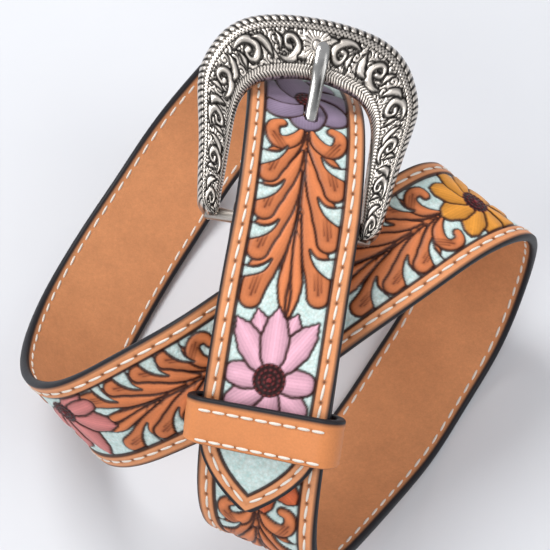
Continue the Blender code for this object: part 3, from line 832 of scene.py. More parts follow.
# %% The stitching
THREAD_SIDES = 7
THREAD_STATIONS = ((-1.0, 0.25), (-0.86, 0.70), (-0.4, 1.0), (0.4, 1.0), (0.86, 0.70), (1.0, 0.25))
THREAD_RADIUS = 0.37
THREAD_FLAT = 1.15
THREAD_SLANT = 0.07
THREAD_DIP = 0.28
THREAD_PROUD = 0.02
NEAR_BAR = (4.0, 16.0)
BACK_STITCHES = (20.0, 90.0)


def round_turn(count):
    """Equal angles round a circle."""
    return np.arange(count) * 2.0 * math.pi / count


def stitch_rings(middle, way, level, side=1.0, long=STITCH_LONG, radius=THREAD_RADIUS):
    """Places of one row of stitches: along, across and out, one ring after another."""
    turns = round_turn(THREAD_SIDES)
    rows = []
    for at, ahead in zip(middle, way):
        aside = np.array((-ahead[1], ahead[0]))
        slant = ahead + THREAD_SLANT * aside
        for share, fat in THREAD_STATIONS:
            centre = at + slant * share * long / 2.0
            wide = radius * fat * np.cos(turns) * THREAD_FLAT
            out = level + side * (radius * fat * np.sin(turns) - THREAD_DIP * share * share)
            rows.append(np.stack([centre[0] + aside[0] * wide, centre[1] + aside[1] * wide, out], axis=1))
    return np.array(rows)


def tube_faces(count, stations, sides, first=0):
    """Faces of many short capped tubes."""
    one = capped_faces(stations, sides)
    step = stations * sides
    return [[first + c * step + k for k in face] for c in range(count) for face in one]


def build_stitching():
    """Every stitch of the strap, on the tooled face and on the back."""
    sets = []
    for middle, way in STITCHES:
        place = middle[:, 0]
        clear = ~((place > STRAP_END - NEAR_BAR[0]) & (place < STRAP_END + NEAR_BAR[1]))
        sets.append(stitch_rings(middle[clear], way[clear], THICK / 2.0 + THREAD_PROUD))
        back = clear & (place > BACK_STITCHES[0]) & (place < STRAP_END - BACK_STITCHES[1])
        sets.append(stitch_rings(middle[back], way[back], -THICK / 2.0 - THREAD_PROUD, -1.0))
    rings = np.concatenate(sets)
    points = on_strap(rings[..., 0], rings[..., 1], rings[..., 2])
    stations = len(THREAD_STATIONS)
    count = len(rings) // stations
    return new_object("strap_stitching", points, tube_faces(count, stations, THREAD_SIDES))


STITCHING = build_stitching()
print("stitching faces:", len(STITCHING.data.polygons))

# %% [markdown]
# The keeper is a loop of softer leather round both layers. Its inside line is the solid's, its
# band gets rounded edges, a blackened far edge and two rows of white stitches.

# %% The keeper's inside line
def keeper_loop(turn_steps, run_steps):
    """Inside line of the keeper: across, out, and its outward direction."""
    half = STRAP_WIDTH / 2.0 + KEEPER_SIDE_ROOM
    low = -LAYER - STRAP_THICK / 2.0 - KEEPER_SEAT
    high = STRAP_THICK / 2.0 + KEEPER_TOP_ROOM
    run = half - KEEPER_CORNER
    corners = ((run, high - KEEPER_CORNER, 0.0), (-run, high - KEEPER_CORNER, 90.0),
               (-run, low + KEEPER_CORNER, 180.0), (run, low + KEEPER_CORNER, 270.0))
    line = []
    for x, z, start in corners:
        for k in range(turn_steps + 1):
            turn = math.radians(start + 90.0 * k / turn_steps)
            way = (math.cos(turn), math.sin(turn))
            line.append((x + KEEPER_CORNER * way[0], z + KEEPER_CORNER * way[1]) + way)
        if start in (0.0, 180.0):
            side = 1.0 - start / 90.0
            level = high if start == 0.0 else low
            for k in range(1, run_steps):
                line.append((side * run * (1.0 - 2.0 * k / run_steps), level, 0.0, side))
    return np.array(line)


def keeper_points(loop, along, out):
    """Points of the keeper at places along the strap and distances out of its inside line."""
    at = frames_at(KEEPER_PLACE / MM + along / MM)
    low, high = KEEPER_LOW_HIGH
    x, z, way_x, way_z = loop[:, None, 0], loop[:, None, 1], loop[:, None, 2], loop[:, None, 3]
    open_up = (along / KEEPER_WIDTH + 0.5) * (z - low) / (high - low)
    level = z + way_z * out + KEEPER_RISE * open_up
    return at[..., 0, :] + at[..., 2, :] * (x + way_x * out)[..., None] + at[..., 3, :] * level[..., None]


KEEPER_TURN_STEPS = 14
KEEPER_RUN_STEPS = 60
KEEPER_LINE = keeper_loop(KEEPER_TURN_STEPS, KEEPER_RUN_STEPS)
KEEPER_LOW_HIGH = (KEEPER_LINE[:, 1].min(), KEEPER_LINE[:, 1].max())
print("places round the keeper:", len(KEEPER_LINE))

# %% The keeper
KEEPER_TAN = srgb(210, 134, 82)
KEEPER_ROWS = (-5.5, 3.5)
KEEPER_STITCH = 4.2
KEEPER_REACH = 18.9
KEEPER_HOLES = np.arange(-KEEPER_REACH, KEEPER_REACH + 0.1, KEEPER_STITCH)
KEEPER_SOFT = 0.0009
KEEPER_GROOVE = 0.00016
KEEPER_GROOVE_HALF = 0.55
KEEPER_DARK_FROM = (5.2, 6.5)
KEEPER_DARK_FADE = (0.8, 0.4)
KEEPER_HOLE_SIZE = (0.34, 0.42)
KEEPER_HOLE_SHADE = 0.9


def keeper_profile():
    """Section of the band: along and out, in metres, with softly rounded edges."""
    turns = np.radians(np.linspace(-80.0, 80.0, 9))
    half, deep, soft = KEEPER_WIDTH / 2.0, KEEPER_THICK / 2.0, KEEPER_SOFT
    edge = [(half - soft + soft * math.cos(t) ** 0.8, deep + deep * math.sin(t)) for t in turns]
    top = [(x, KEEPER_THICK) for x in np.linspace(half - soft, -half + soft, 22)]
    back = [(-x, KEEPER_THICK - z) for x, z in edge]
    under = [(x, 0.0) for x in np.linspace(-half + soft, half - soft, 8)]
    return np.array(edge + top + back + under), len(edge), len(top)


def build_keeper():
    """The keeper's loop."""
    profile, edge_count, top_count = keeper_profile()
    rows = len(KEEPER_LINE)
    along = np.tile(profile[:, 0], (rows, 1))
    out = np.tile(profile[:, 1], (rows, 1))
    top = slice(edge_count, edge_count + top_count)
    for middle in KEEPER_ROWS:
        off = (along[:, top] / MM - middle) / KEEPER_GROOVE_HALF
        out[:, top] -= KEEPER_GROOVE * np.exp(-(off**2))
    made = new_object("keeper_loop", keeper_points(KEEPER_LINE, along, out),
                      grid_faces(rows, len(profile), True)[:, ::-1].tolist())
    paint = np.tile(KEEPER_TAN, (rows, len(profile), 1))
    far = np.clip((along / MM - KEEPER_DARK_FROM[0]) / KEEPER_DARK_FADE[0], 0.0, 1.0)
    far = far + np.clip((-along / MM - KEEPER_DARK_FROM[1]) / KEEPER_DARK_FADE[1], 0.0, 1.0)
    far = np.clip(far, 0.0, 1.0)[..., None]
    paint = paint * (1.0 - far) + BLACK_EDGE * far
    # Dark spots are painted where the stitches go in: painted shade of holes the keeper does not have.
    across = np.abs(KEEPER_LINE[:, None, 0, None] / MM - KEEPER_HOLES[None, None, 1:-1]).min(axis=-1)
    for middle in KEEPER_ROWS:
        off = (along / MM - middle) / KEEPER_HOLE_SIZE[1]
        hole_shade = np.exp(-((across / KEEPER_HOLE_SIZE[0]) ** 2) - off**2)[..., None]
        paint = paint * (1.0 - KEEPER_HOLE_SHADE * hole_shade) + CUT * KEEPER_HOLE_SHADE * hole_shade
    give_paint(made, paint, ground=np.zeros(along.shape), plain=np.zeros(along.shape))
    return made


KEEPER = build_keeper()
print("keeper faces:", len(KEEPER.data.polygons))

# %% The keeper's stitches
KEEPER_THREAD = 0.42
KEEPER_DIP = 0.24
KEEPER_STITCH_HALF = 1.85


def build_keeper_stitches():
    """Two rows of stitches across the top of the keeper."""
    turns = round_turn(THREAD_SIDES)
    rings = []
    for middle in KEEPER_ROWS:
        for x in KEEPER_HOLES[:-1] + KEEPER_STITCH / 2.0:
            for share, fat in THREAD_STATIONS:
                wide = KEEPER_THREAD * fat * np.cos(turns)
                out = KEEPER_THREAD * fat * np.sin(turns) - KEEPER_DIP * share * share
                across = np.full(THREAD_SIDES, x + share * KEEPER_STITCH_HALF)
                rings.append(np.stack([across, middle + wide, out], axis=1))
    rings = np.array(rings) * MM
    high = STRAP_THICK / 2.0 + KEEPER_TOP_ROOM + KEEPER_THICK
    at = frames_at((KEEPER_PLACE + rings[..., 1]) / MM)
    level = high + rings[..., 2] + KEEPER_RISE * (rings[..., 1] / KEEPER_WIDTH + 0.5)
    points = at[..., 0, :] + at[..., 2, :] * rings[..., 0][..., None] + at[..., 3, :] * level[..., None]
    stations = len(THREAD_STATIONS)
    return new_object("keeper_stitching", points, tube_faces(len(rings) // stations, stations, THREAD_SIDES))


KEEPER_STITCHING = build_keeper_stitches()
print("keeper stitching faces:", len(KEEPER_STITCHING.data.polygons))

# %% [markdown]
# The buckle is cast silver, engraved and blackened in its hollows. Its surface is a strip round
# the horseshoe: a rope rim outside, a beaded band, raised scrolls on a black ground, a milled
# border inside and a sunburst on top of the arch. The same canvas draws it.

# %% The buckle's own axes
def buckle_axes():
    """Across, towards the arch and out, with the middle of the heel bar as origin."""
    centre, tangent, ruling, normal = COARSE[-1]
    return centre - normal * FOLD_RADIUS, np.stack([ruling, tangent, normal])


BUCKLE_ORIGIN, BUCKLE_AXES = buckle_axes()


def in_buckle(local):
    """World points from the buckle's own coordinates."""
    return BUCKLE_ORIGIN + np.asarray(local) @ BUCKLE_AXES


# outer x and y, inner x and y as shares (leg ends: y of the heel), then the boss under the leg
HORSESHOE = (
    (0.700, -0.85, 1.030, -0.70, 1.00), (0.775, 0.015, 1.000, 0.000, 1.00),
    (0.815, 0.060, 1.000, 0.080, 1.00), (0.850, 0.170, 1.000, 0.190, 0.25),
    (0.885, 0.300, 1.000, 0.330, 0.00), (0.940, 0.450, 1.000, 0.480, 0.00),
    (0.985, 0.570, 1.000, 0.620, 0.00), (0.995, 0.650, 0.985, 0.720, 0.00),
    (0.955, 0.740, 0.930, 0.810, 0.00), (0.870, 0.835, 0.830, 0.880, 0.00),
    (0.740, 0.910, 0.680, 0.935, 0.00), (0.570, 0.958, 0.480, 0.968, 0.00),
    (0.300, 0.990, 0.250, 0.992, 0.00), (0.000, 1.000, 0.000, 1.000, 0.00),
)
# share across the rim, height as a share of the thickness
FRAME_SECTION = (
    (0.0, 0.42), (0.06, 0.78), (0.22, 0.96), (0.5, 1.0), (0.78, 0.90), (0.95, 0.66), (1.0, 0.36),
)
SHOE_STEP = 0.00022


def horseshoe_line():
    """Outer and inner edge of the whole horseshoe, and the boss, in metres."""
    inner_length = FRAME_LENGTH - FRAME_ARCH
    rows = []
    for k, (x_out, y_out, x_in, y_in, boss) in enumerate(HORSESHOE):
        sizes = (FRAME_HEEL, FRAME_HEEL) if k == 0 else (FRAME_LENGTH, inner_length)
        rows.append((x_out * FRAME_OUTER, y_out * sizes[0], x_in * FRAME_INNER, y_in * sizes[1], boss))
    rows = np.array(rows)
    left = rows * np.array((-1.0, 1.0, -1.0, 1.0, 1.0))
    rows = np.vstack([left, rows[-2::-1]])
    middle = (rows[:, :2] + rows[:, 2:4]) / 2.0
    places = run_along(middle)
    at = np.linspace(0.0, places[-1], int(places[-1] / SHOE_STEP))
    smooth = cubic_at(places, rows, cubic_bends(places, rows), at)
    smooth[:, 4] = np.interp(at, places, rows[:, 4])
    return smooth, at / MM


SHOE, SHOE_PLACES = horseshoe_line()
RIM = FRAME_RIM / MM
ENGRAVED = (3.6, RIM - 2.3)
print(f"horseshoe runs {SHOE_PLACES[-1]:.0f} mm, rim {RIM:.1f} mm")

# %% Curls of the engraved field
SILVER = srgb(228, 219, 209)
PATINA = srgb(14, 13, 13)
CURL_PITCH = 2.9
CURL_LINE = 1.05
CURL_JITTER = 0.5
CURL_LEVEL = -0.34
CURL_TALL = 0.22


def curl_ground(canvas):
    """Fine engraved curls that fill the field between the raised scrolls."""
    random = np.random.default_rng(5)
    columns = np.arange(ENGRAVED[0] + 0.6, ENGRAVED[1], CURL_PITCH)
    s, q = np.meshgrid(canvas.s, canvas.v, indexing="ij")
    near, turn = np.full(s.shape, 99.0), np.zeros(s.shape)
    for k, start in enumerate(np.arange(0.0, canvas.s[-1] + CURL_PITCH, CURL_PITCH)):
        for q_at in columns + (k % 2) * CURL_PITCH / 2.0:
            at = (start + random.uniform(-CURL_JITTER, CURL_JITTER),
                  q_at + random.uniform(-CURL_JITTER, CURL_JITTER))
            rows = slice(*np.searchsorted(canvas.s, (at[0] - 3.0 * CURL_PITCH, at[0] + 3.0 * CURL_PITCH)))
            away = np.hypot(s[rows] - at[0], q[rows] - at[1])
            closer = away < near[rows]
            angle = np.arctan2(q[rows] - at[1], s[rows] - at[0]) * random.choice((-1.0, 1.0))
            near[rows] = np.where(closer, away, near[rows])
            turn[rows] = np.where(closer, angle, turn[rows])
    ridge = 0.5 + 0.5 * np.cos(2.0 * math.pi * near / CURL_LINE - turn)
    tone = np.clip(2.2 * ridge - 0.36, 0.02, 1.0)[..., None]
    canvas.height[...] = CURL_LEVEL + CURL_TALL * ridge
    canvas.paint[...] = PATINA * (1.0 - tone) + SILVER * tone


print("curls stand", CURL_PITCH, "mm apart")

# %% The sunburst
SUN_ASIDE = 7.0
SUN_REACH = 4.4
SUN_RAYS = 20.0
SUN_INNER = 1.9
SUN_EYE = 0.9
SUN_RING = 1.25


def sunburst(canvas, arch):
    """Dark rays round a ringed eye, on top of the arch."""
    s, q = np.meshgrid(canvas.s, canvas.v, indexing="ij")
    away, turn = np.hypot(s - arch, q - SUN_ASIDE), np.arctan2(q - SUN_ASIDE, s - arch)
    rays = np.clip(2.6 * (0.5 + 0.5 * np.cos(turn * SUN_RAYS)) - 0.2, 0.0, 1.0)
    outside = away > SUN_INNER
    sun = np.clip((SUN_REACH - away) / 0.25, 0.0, 1.0)
    relief = 0.05 + 0.24 * rays * outside + 0.30 * (away < SUN_EYE)
    canvas.height[...] = canvas.height * (1 - sun) + sun * relief
    dark = np.clip(2.4 * (0.5 - rays) + 0.4, 0.0, 1.0) * outside
    dark = dark + np.exp(-(((away - SUN_RING) / 0.22) ** 2))
    shine = (1.0 - 0.94 * np.clip(dark, 0.0, 1.0))[..., None]
    canvas.paint[...] = canvas.paint * (1.0 - sun[..., None]) + SILVER * shine * sun[..., None]


print("sunburst reaches", SUN_REACH, "mm")

# %% Engraving
SCROLL = ((0.4, 9.4), (1.6, 9.9), (4.2, 9.6), (5.6, 7.9), (4.6, 6.1), (2.9, 6.2), (2.6, 7.5), (3.6, 7.9))
SCROLL_WIDTHS = (0.4, 0.8, 1.15, 1.25, 1.05, 0.85, 0.7, 0.85)
SPRIG = ((5.4, 9.6), (6.9, 9.2), (8.1, 7.6), (8.5, 5.6))
SIDE_LEAF = ((0.6, 5.1), (1.3, 6.4), (1.0, 8.2))
SPRIG_WIDTHS = (0.3, 1.2, 1.15, 0.2)
SIDE_LEAF_WIDTHS = (0.2, 1.0, 0.3)
SCROLL_MIDDLE = 7.55
SCROLL_LONG = 1.35
SCROLL_WIDE = 1.2
CELL = 13.2
ROPE = 1.9
ROPE_TWIST = (2.0, 3.4)
BEAD_PITCH = 1.15
MILL_PITCH = (1.25, 1.2)
RIM_GROOVE_HALF = 0.2
RIM_GROOVE_DEEP = 0.22
RIM_COLUMNS = 57


def engrave():
    """Scrolls, sprigs, rope, beads and milling round the horseshoe."""
    columns = np.linspace(0.0, RIM, RIM_COLUMNS)
    canvas = Canvas(SHOE_PLACES, columns, PATINA, CURL_LEVEL)
    total = SHOE_PLACES[-1]
    curl_ground(canvas)
    cells = int(total / CELL)
    step = total / cells
    middle = sum(ENGRAVED) / 2.0
    for k in range(cells):
        side = 1.0 if k % 2 else -1.0
        mirror = 1.0 if k < cells / 2 else -1.0
        start = k * step if mirror > 0 else (k + 1) * step
        for spine, widths in (
            (SCROLL, SCROLL_WIDTHS), (SPRIG, SPRIG_WIDTHS), (SIDE_LEAF, SIDE_LEAF_WIDTHS),
        ):
            points = [
                (start + mirror * p * SCROLL_LONG, middle + side * (q - SCROLL_MIDDLE) * SCROLL_WIDE)
                for p, q in spine
            ]
            canvas.stroke(points, widths, SILVER, rise=0.24, cut=0.16, stripes=0.6, level=-0.12,
                          dark=PATINA)
    sunburst(canvas, total / 2.0)
    s, q = np.meshgrid(canvas.s, canvas.v, indexing="ij")
    turn = 2.0 * math.pi
    beads = np.cos(turn * s / BEAD_PITCH) * np.cos(turn * (q - 2.2) / BEAD_PITCH)
    milling = np.cos(turn * (s / MILL_PITCH[0] - np.abs(q - RIM + 1.15) / MILL_PITCH[1]))
    bands = (
        (0.0, ROPE, np.cos(turn * (s / ROPE_TWIST[0] - q / ROPE_TWIST[1])), 0.30),
        (ROPE, ENGRAVED[0], beads, 0.22),
        (ENGRAVED[1], RIM, milling, 0.22),
    )
    for low, high, wave, tall in bands:
        inside = np.clip((q - low) / 0.12 + 1.0, 0.0, 1.0) * np.clip((high - q) / 0.12, 0.0, 1.0)
        inside = np.where((q >= low) & (q <= high), 1.0, 0.0) if low == 0.0 else inside
        ridge = 0.5 + 0.5 * wave
        canvas.height[...] = canvas.height * (1.0 - inside) + inside * (tall * (ridge - 0.7))
        tone = (0.04 + 0.96 * np.clip(ridge * 2.0 - 0.35, 0.0, 1.0))[..., None]
        canvas.paint[...] = canvas.paint * (1.0 - inside[..., None]) + SILVER * tone * inside[..., None]
    for line in (ROPE, ENGRAVED[0], ENGRAVED[1]):
        groove = np.exp(-(((q - line) / RIM_GROOVE_HALF) ** 2))
        canvas.height -= RIM_GROOVE_DEEP * groove
        canvas.paint *= (1.0 - 0.9 * groove)[..., None]
    return canvas


print("scrolls round the rim:", int(SHOE_PLACES[-1] / CELL))

# %% The buckle
ROD_SIDES = 32
RELIEF_SHARE = 0.9
UNDERSIDE = (1.0, 0.75, 0.5, 0.25, 0.0)


def rod_points(middle, reach, radius, sides):
    """Points of a rod along the heel bar's line."""
    turns = round_turn(sides)
    rings = [np.stack([np.full(sides, x), radius * np.cos(turns), radius * np.sin(turns)], axis=1)
             for x in (middle - reach, middle + reach)]
    return in_buckle(np.vstack(rings))


def build_buckle():
    """The engraved horseshoe with its heel bar."""
    canvas = engrave()
    share = canvas.v / RIM
    rise = np.interp(share, *np.array(FRAME_SECTION).T)
    for _ in range(3):
        rise[1:-1] = (rise[:-2] + 2.0 * rise[1:-1] + rise[2:]) / 4.0
    x = SHOE[:, 0, None] + (SHOE[:, 2] - SHOE[:, 0])[:, None] * share
    y = SHOE[:, 1, None] + (SHOE[:, 3] - SHOE[:, 1])[:, None] * share
    fade = np.clip(np.minimum(share, 1.0 - share) / 0.03, 0.0, 1.0)
    z = FRAME_BACK + FRAME_THICK * rise + canvas.height * MM * fade * RELIEF_SHARE
    low = FRAME_BACK - SHOE[:, 4] * FRAME_BOSS
    under = np.array(UNDERSIDE)
    x_low = SHOE[:, 0, None] + (SHOE[:, 2] - SHOE[:, 0])[:, None] * under
    y_low = SHOE[:, 1, None] + (SHOE[:, 3] - SHOE[:, 1])[:, None] * under
    local = np.stack([
        np.hstack([x, x_low]) + FRAME_SHIFT, np.hstack([y, y_low]),
        np.hstack([z, np.repeat(low[:, None], len(under), axis=1)]),
    ], axis=-1)
    rows, size = local.shape[:2]
    faces = capped_faces(rows, size)
    bar = rod_points(FRAME_SHIFT, FRAME_INNER + BAR_BITE, BAR_RADIUS, ROD_SIDES)
    points = np.vstack([in_buckle(local).reshape(-1, 3), bar])
    faces += [[rows * size + k for k in face] for face in capped_faces(2, ROD_SIDES)]
    made = new_object("buckle_horseshoe", points, faces)
    face_outwards(made)
    plain = np.tile(SILVER * 0.8, (rows, len(under), 1))
    paint = np.concatenate([canvas.paint, plain], axis=1).reshape(-1, 3)
    paint = np.vstack([paint, np.tile(SILVER * 0.7, (len(bar), 1))])
    give_paint(made, paint)
    return made


BUCKLE = build_buckle()
print("buckle triangles:", 2 * len(BUCKLE.data.polygons))

# %% [markdown]
# The prong is polished nickel with dark reflections painted on its flanks and on its neck: an eye
# on the heel bar, a slim bar that dips through the hole and a flat paddle that lies on the arch.

# %% The prong
# share along, height as a share of the top's, width and thickness as shares
PRONG_ROWS = np.array((
    (0.000, 0.435, 1.00, 0.80), (0.140, 0.351, 1.00, 0.95), (0.300, 0.137, 0.95, 1.00),
    (0.450, -0.250, 0.90, 1.00), (0.540, -0.480, 0.90, 1.00), (0.605, -0.230, 0.90, 1.00),
    (0.700, 0.305, 0.92, 1.00), (0.775, 0.687, 0.96, 1.00), (0.840, 0.916, 1.05, 1.00),
    (0.900, 0.985, 1.08, 0.95), (0.955, 0.985, 1.00, 0.90), (1.000, 0.931, 0.55, 0.60),
))
NICKEL = srgb(206, 204, 200)
PRONG_RINGS = 120
PRONG_SIDES = 28
PRONG_SQUARE = 0.75
PRONG_CAP = 0.962
EYE_SIDES = 40
EYE_SOFT = 0.0003
# place, length, turn and width of the dark reflection painted on the neck
NECK_REFLECTION_PLACE = 0.76
NECK_REFLECTION_LONG = 0.13
NECK_REFLECTION_TURN = 1.25
NECK_REFLECTION_WIDE = 0.38


def build_prong():
    """The tongue, smoothed between its stations, and the eye."""
    places = np.linspace(0.0, 1.0, PRONG_RINGS)
    bends = cubic_bends(PRONG_ROWS[:, 0], PRONG_ROWS)
    rows = cubic_at(PRONG_ROWS[:, 0], PRONG_ROWS, bends, places)
    turns = round_turn(PRONG_SIDES)
    cos, sin = np.cos(turns), np.sin(turns)
    across = np.sign(cos) * np.abs(cos) ** PRONG_SQUARE
    out = np.sign(sin) * np.abs(sin) ** PRONG_SQUARE
    near_end = ((places - PRONG_CAP) / 0.0384).clip(0.0, 1.0)
    end = np.sqrt(np.clip(1.0 - near_end**2, 0.0, 1.0))[:, None]
    x = PRONG_WIDTH * rows[:, 2:3] / 2.0 * across * end
    z = rows[:, 1:2] * PRONG_TOP + PRONG_THICK * rows[:, 3:4] / 2.0 * out * end
    y = np.repeat(places[:, None] * PRONG_LENGTH, len(turns), axis=1)
    points = in_buckle(np.stack([x, y, z], axis=-1)).reshape(-1, 3)
    faces = capped_faces(PRONG_RINGS, PRONG_SIDES)
    wall, bore = BAR_RADIUS + BAR_ROOM + PRONG_EYE, BAR_RADIUS + BAR_ROOM
    half = PRONG_WIDTH / 2.0
    outline = (
        (-half, wall - EYE_SOFT), (-half + EYE_SOFT, wall), (half - EYE_SOFT, wall),
        (half, wall - EYE_SOFT), (half, bore), (-half, bore),
    )
    ring = round_turn(EYE_SIDES)
    eye = np.array([[(x_at, r * math.cos(t), r * math.sin(t)) for x_at, r in outline] for t in ring])
    first = len(points)
    points = np.vstack([points, in_buckle(eye).reshape(-1, 3)])
    faces += (grid_faces(EYE_SIDES, len(outline), True) + first).tolist()
    made = new_object("prong_tongue", points, faces)
    # Dark reflections are painted on the nickel: a stripe along one face of the neck and two along its
    # flanks.
    neck = np.clip(1.0 - np.abs(places - NECK_REFLECTION_PLACE) / NECK_REFLECTION_LONG, 0.0, 1.0)[:, None] ** 0.5
    neck_reflection = np.exp(-(((turns - NECK_REFLECTION_TURN) / NECK_REFLECTION_WIDE) ** 2))[None, :] * neck
    flank_reflection = 0.55 * np.exp(-(((turns - 0.35) / 0.30) ** 2))
    flank_reflection += 0.45 * np.exp(-(((turns - 2.85) / 0.25) ** 2))
    dark = np.clip(0.88 * neck_reflection + flank_reflection[None, :], 0.0, 0.92).ravel()
    paint = np.tile(NICKEL, (len(points), 1))
    paint[: len(dark)] *= (1.0 - dark)[:, None]
    give_paint(made, paint)
    face_outwards(made)
    return made


PRONG = build_prong()
print("prong faces:", len(PRONG.data.polygons))

# %% [markdown]
# Finishes are written as sums on sockets. A small class wraps an output, so that 1 - mask
# makes its Math node by itself. The paint comes from the points, the grain from noise.

# %% Writing finishes
class Wire:
    """One output of a node; arithmetic on it becomes Math nodes."""

    def __init__(self, finish, out):
        self.finish, self.out = finish, out

    def math(self, operation, first, second):
        return self.finish.make("ShaderNodeMath", {"operation": operation}, {0: first, 1: second})

    def __add__(self, other):
        return self.math("ADD", self, other)

    def __sub__(self, other):
        return self.math("SUBTRACT", self, other)

    def __rsub__(self, other):
        return self.math("SUBTRACT", other, self)

    def __mul__(self, other):
        return self.math("MULTIPLY", self, other)

    __radd__ = __add__
    __rmul__ = __mul__


class Finish:
    """A material being wired; fixed values go straight on the shader."""

    def __init__(self, name, fixed):
        self.material = bpy.data.materials.new(name)
        self.material.use_nodes = True
        self.tree = self.material.node_tree
        self.shader = self.tree.nodes["Principled BSDF"]
        for socket, value in fixed.items():
            self.shader.inputs[socket].default_value = value
        self.where = self.make("ShaderNodeTexCoord", out="Object")

    def make(self, kind, settings=None, sockets=None, out=0):
        """Any node: its type, its settings, then the values or links of its sockets."""
        node = self.tree.nodes.new(kind)
        for name, value in (settings or {}).items():
            setattr(node, name, value)
        for name, value in (sockets or {}).items():
            self.plug(node.inputs[name], value)
        return Wire(self, node.outputs[out])

    def plug(self, socket, value):
        if isinstance(value, Wire):
            self.tree.links.new(value.out, socket)
        else:
            socket.default_value = value

    def noise(self, scale, detail=4.0, rough=0.55):
        return self.make("ShaderNodeTexNoise", None, {
            "Vector": self.where, "Scale": scale, "Detail": detail, "Roughness": rough})

    def cells(self, scale):
        return self.make("ShaderNodeTexVoronoi", {"feature": "F1"}, {"Vector": self.where, "Scale": scale})

    def mask(self, name):
        return self.make("ShaderNodeAttribute", {"attribute_name": name}, out="Fac")

    def paint(self):
        return self.make("ShaderNodeAttribute", {"attribute_name": "paint"}, out="Color")

    def mix(self, share, first, second, how="MIX"):
        return self.make("ShaderNodeMix", {"data_type": "RGBA", "blend_type": how},
                         {0: share, 6: first, 7: second}, out=2)

    def bump(self, height, strength, distance):
        return self.make("ShaderNodeBump", None, {
            "Height": height, "Strength": strength, "Distance": distance})

    def feed(self, **sockets):
        for name, value in sockets.items():
            self.plug(self.shader.inputs[name.replace("_", " ")], value)
        return self.material


def grey(level):
    return (level, level, level, 1.0)


print("finishes can be written")

# %% Leather and thread
def leather(name, stain, shine):
    """Painted leather: mottled colour, fine grain, and stippling where the ground is."""
    finish = Finish(name, {"Specular IOR Level": 0.18, "Coat Roughness": 0.35})
    ground, plain = finish.mask("ground"), finish.mask("plain")
    cloud, grain = finish.noise(140.0), finish.noise(1500.0, 6.0, 0.65)
    fibre, pits = finish.noise(620.0, 5.0, 0.7), finish.cells(1050.0)
    tone = finish.mix(stain, finish.paint(), finish.mix(cloud, grey(0.62), grey(1.25)), "MULTIPLY")
    speck = finish.mix(grain, grey(0.66), grey(1.20))
    tone = finish.mix(0.55, tone, speck, "MULTIPLY")
    worn = finish.mix(fibre, grey(0.74), grey(1.16))
    tone = finish.mix(plain * 0.8, tone, worn, "MULTIPLY")
    stipple = ground * (1.0 - pits * 1.5)
    tone = finish.mix(ground * (fibre * 2.6 - 0.9), tone, (0.72, 0.84, 0.83, 1.0))
    tone = finish.mix(ground * pits * 0.35, tone, (0.40, 0.28, 0.20, 1.0))
    relief = grain * 0.35 + fibre * plain * 0.8 + stipple * 1.1
    rough = shine + cloud * 0.16 + plain * 0.25 + ground * 0.12
    return finish.feed(Base_Color=tone, Roughness=rough, Coat_Weight=(1.0 - plain) * 0.05,
                       Normal=finish.bump(relief, 0.55, 0.00025))


def thread():
    """Waxed white thread with its twist."""
    finish = Finish("waxed_thread", {"Sheen Weight": 0.15})
    fuzz, soil = finish.noise(2600.0, 3.0), finish.noise(90.0)
    tone = finish.mix(soil, (*(THREAD * 0.80), 1.0), (*THREAD, 1.0))
    tone = finish.mix(0.5, tone, finish.mix(fuzz, grey(0.78), grey(1.08)), "MULTIPLY")
    return finish.feed(Base_Color=tone, Roughness=0.55 + fuzz * 0.2, Normal=finish.bump(fuzz, 0.5, 0.0002))


STRAP_LEATHER = leather("tooled_leather", 0.45, 0.36)
KEEPER_LEATHER = leather("keeper_leather", 0.30, 0.40)
WAXED_THREAD = thread()
print("made", STRAP_LEATHER.name, KEEPER_LEATHER.name, WAXED_THREAD.name)

# %% Metals
def silver():
    """Cast silver, bright on the high places and black in the hollows."""
    finish = Finish("antique_silver", {"Metallic": 1.0})
    cloud, speck = finish.noise(260.0), finish.noise(2600.0, 4.0)
    tone = finish.mix(0.5, finish.paint(), finish.mix(cloud, grey(0.72), grey(1.15)), "MULTIPLY")
    return finish.feed(Base_Color=tone, Roughness=0.24 + cloud * 0.16 + speck * 0.06,
                       Normal=finish.bump(speck, 0.25, 0.0001))


def nickel():
    """Polished nickel with faint wear."""
    finish = Finish("polished_nickel", {"Metallic": 1.0})
    cloud = finish.noise(400.0)
    rub = finish.make("ShaderNodeTexWave", {"wave_type": "BANDS"}, {
        "Vector": finish.where, "Scale": 900.0, "Distortion": 9.0, "Detail": 3.0})
    tone = finish.mix(0.6, finish.paint(), finish.mix(cloud, grey(0.72), grey(1.2)), "MULTIPLY")
    return finish.feed(Base_Color=tone, Roughness=0.10 + cloud * 0.10 + rub * 0.04,
                       Normal=finish.bump(rub, 0.06, 0.0001))


def table():
    """Pale matt table."""
    finish = Finish("pale_table", {"Specular IOR Level": 0.2})
    cloud = finish.noise(14.0)
    tone = finish.mix(cloud, (0.60, 0.61, 0.64, 1.0), (0.64, 0.65, 0.67, 1.0))
    return finish.feed(Base_Color=tone, Roughness=0.7 + cloud * 0.1)


print("metals ready")

# %% Dressing the pieces
DRESSED = (
    [(piece, STRAP_LEATHER, "strap") for piece in STRAP]
    + [(STITCHING, WAXED_THREAD, "strap"), (KEEPER, KEEPER_LEATHER, "keeper"),
       (KEEPER_STITCHING, WAXED_THREAD, "keeper"), (BUCKLE, silver(), "buckle_frame"),
       (PRONG, nickel(), "prong")]
)
for piece, material, node in DRESSED:
    piece.data.materials.append(material)
    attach(piece, "root")
    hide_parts(node)
print("pieces dressed:", len(DRESSED))

# %% [markdown]
# The photograph looks down at about sixty degrees on a pale table, with soft light mostly from
# the upper left. Three square lights and a pale sky stand in for it. The floor lies where the
# leather rests.

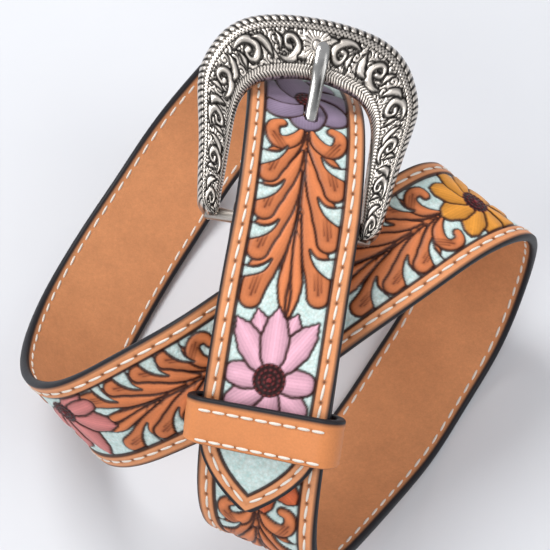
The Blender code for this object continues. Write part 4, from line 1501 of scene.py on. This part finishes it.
# %% Table and light
TABLE_HALF = 3.0
LOOKED_AT = (0.0, 0.0, 0.04)
SKY = (0.93, 0.95, 1.0, 1.0)
SKY_STRENGTH = 0.50


def build_table():
    """A wide pale floor under the belt."""
    half = TABLE_HALF
    corners = [(-half, -half, 0.0), (half, -half, 0.0), (half, half, 0.0), (-half, half, 0.0)]
    made = new_object("table_floor", corners, [[0, 1, 2, 3]], False)
    made.data.materials.append(table())


def area_light(name, place, size, power):
    """Soft square light that looks at the belt."""
    lamp = bpy.data.lights.new(name, "AREA")
    lamp.size, lamp.energy = size, power
    made = bpy.data.objects.new(name, lamp)
    made.location = place
    made.rotation_euler = (Vector(LOOKED_AT) - Vector(place)).to_track_quat("-Z", "Y").to_euler()
    bpy.context.scene.collection.objects.link(made)


build_table()
area_light("key_light", (-0.38, 0.50, 1.05), 0.55, 10.6)
area_light("fill_light", (0.8, -0.3, 0.9), 0.9, 4.6)
area_light("front_light", (-0.65, -0.75, 0.7), 0.9, 7.0)
world = bpy.data.worlds.new("studio")
world.use_nodes = True
world.node_tree.nodes["Background"].inputs["Color"].default_value = SKY
world.node_tree.nodes["Background"].inputs["Strength"].default_value = SKY_STRENGTH
bpy.context.scene.world = world
bpy.context.scene.view_settings.view_transform = "Standard"

# %% The camera
CAMERA_FAR = 0.520
CAMERA_RISE = math.radians(60.0)
CAMERA_TARGET = Vector((0.0, 0.0, 0.035))
FOCAL_PIXELS = 1517.70
PHOTO_SIDE = 550.0
camera = bpy.data.objects.new("camera", bpy.data.cameras.new("camera"))
camera.data.sensor_width = 36.0
camera.data.lens = FOCAL_PIXELS * camera.data.sensor_width / PHOTO_SIDE
target = CAMERA_TARGET + Vector(SHIFT)
away = Vector((0.0, -math.cos(CAMERA_RISE), math.sin(CAMERA_RISE))) * CAMERA_FAR
camera.location = target + away
camera.rotation_euler = (-away).to_track_quat("-Z", "Y").to_euler()
bpy.context.scene.collection.objects.link(camera)
bpy.context.scene.camera = camera
print("camera at", tuple(camera.location), "lens", camera.data.lens)
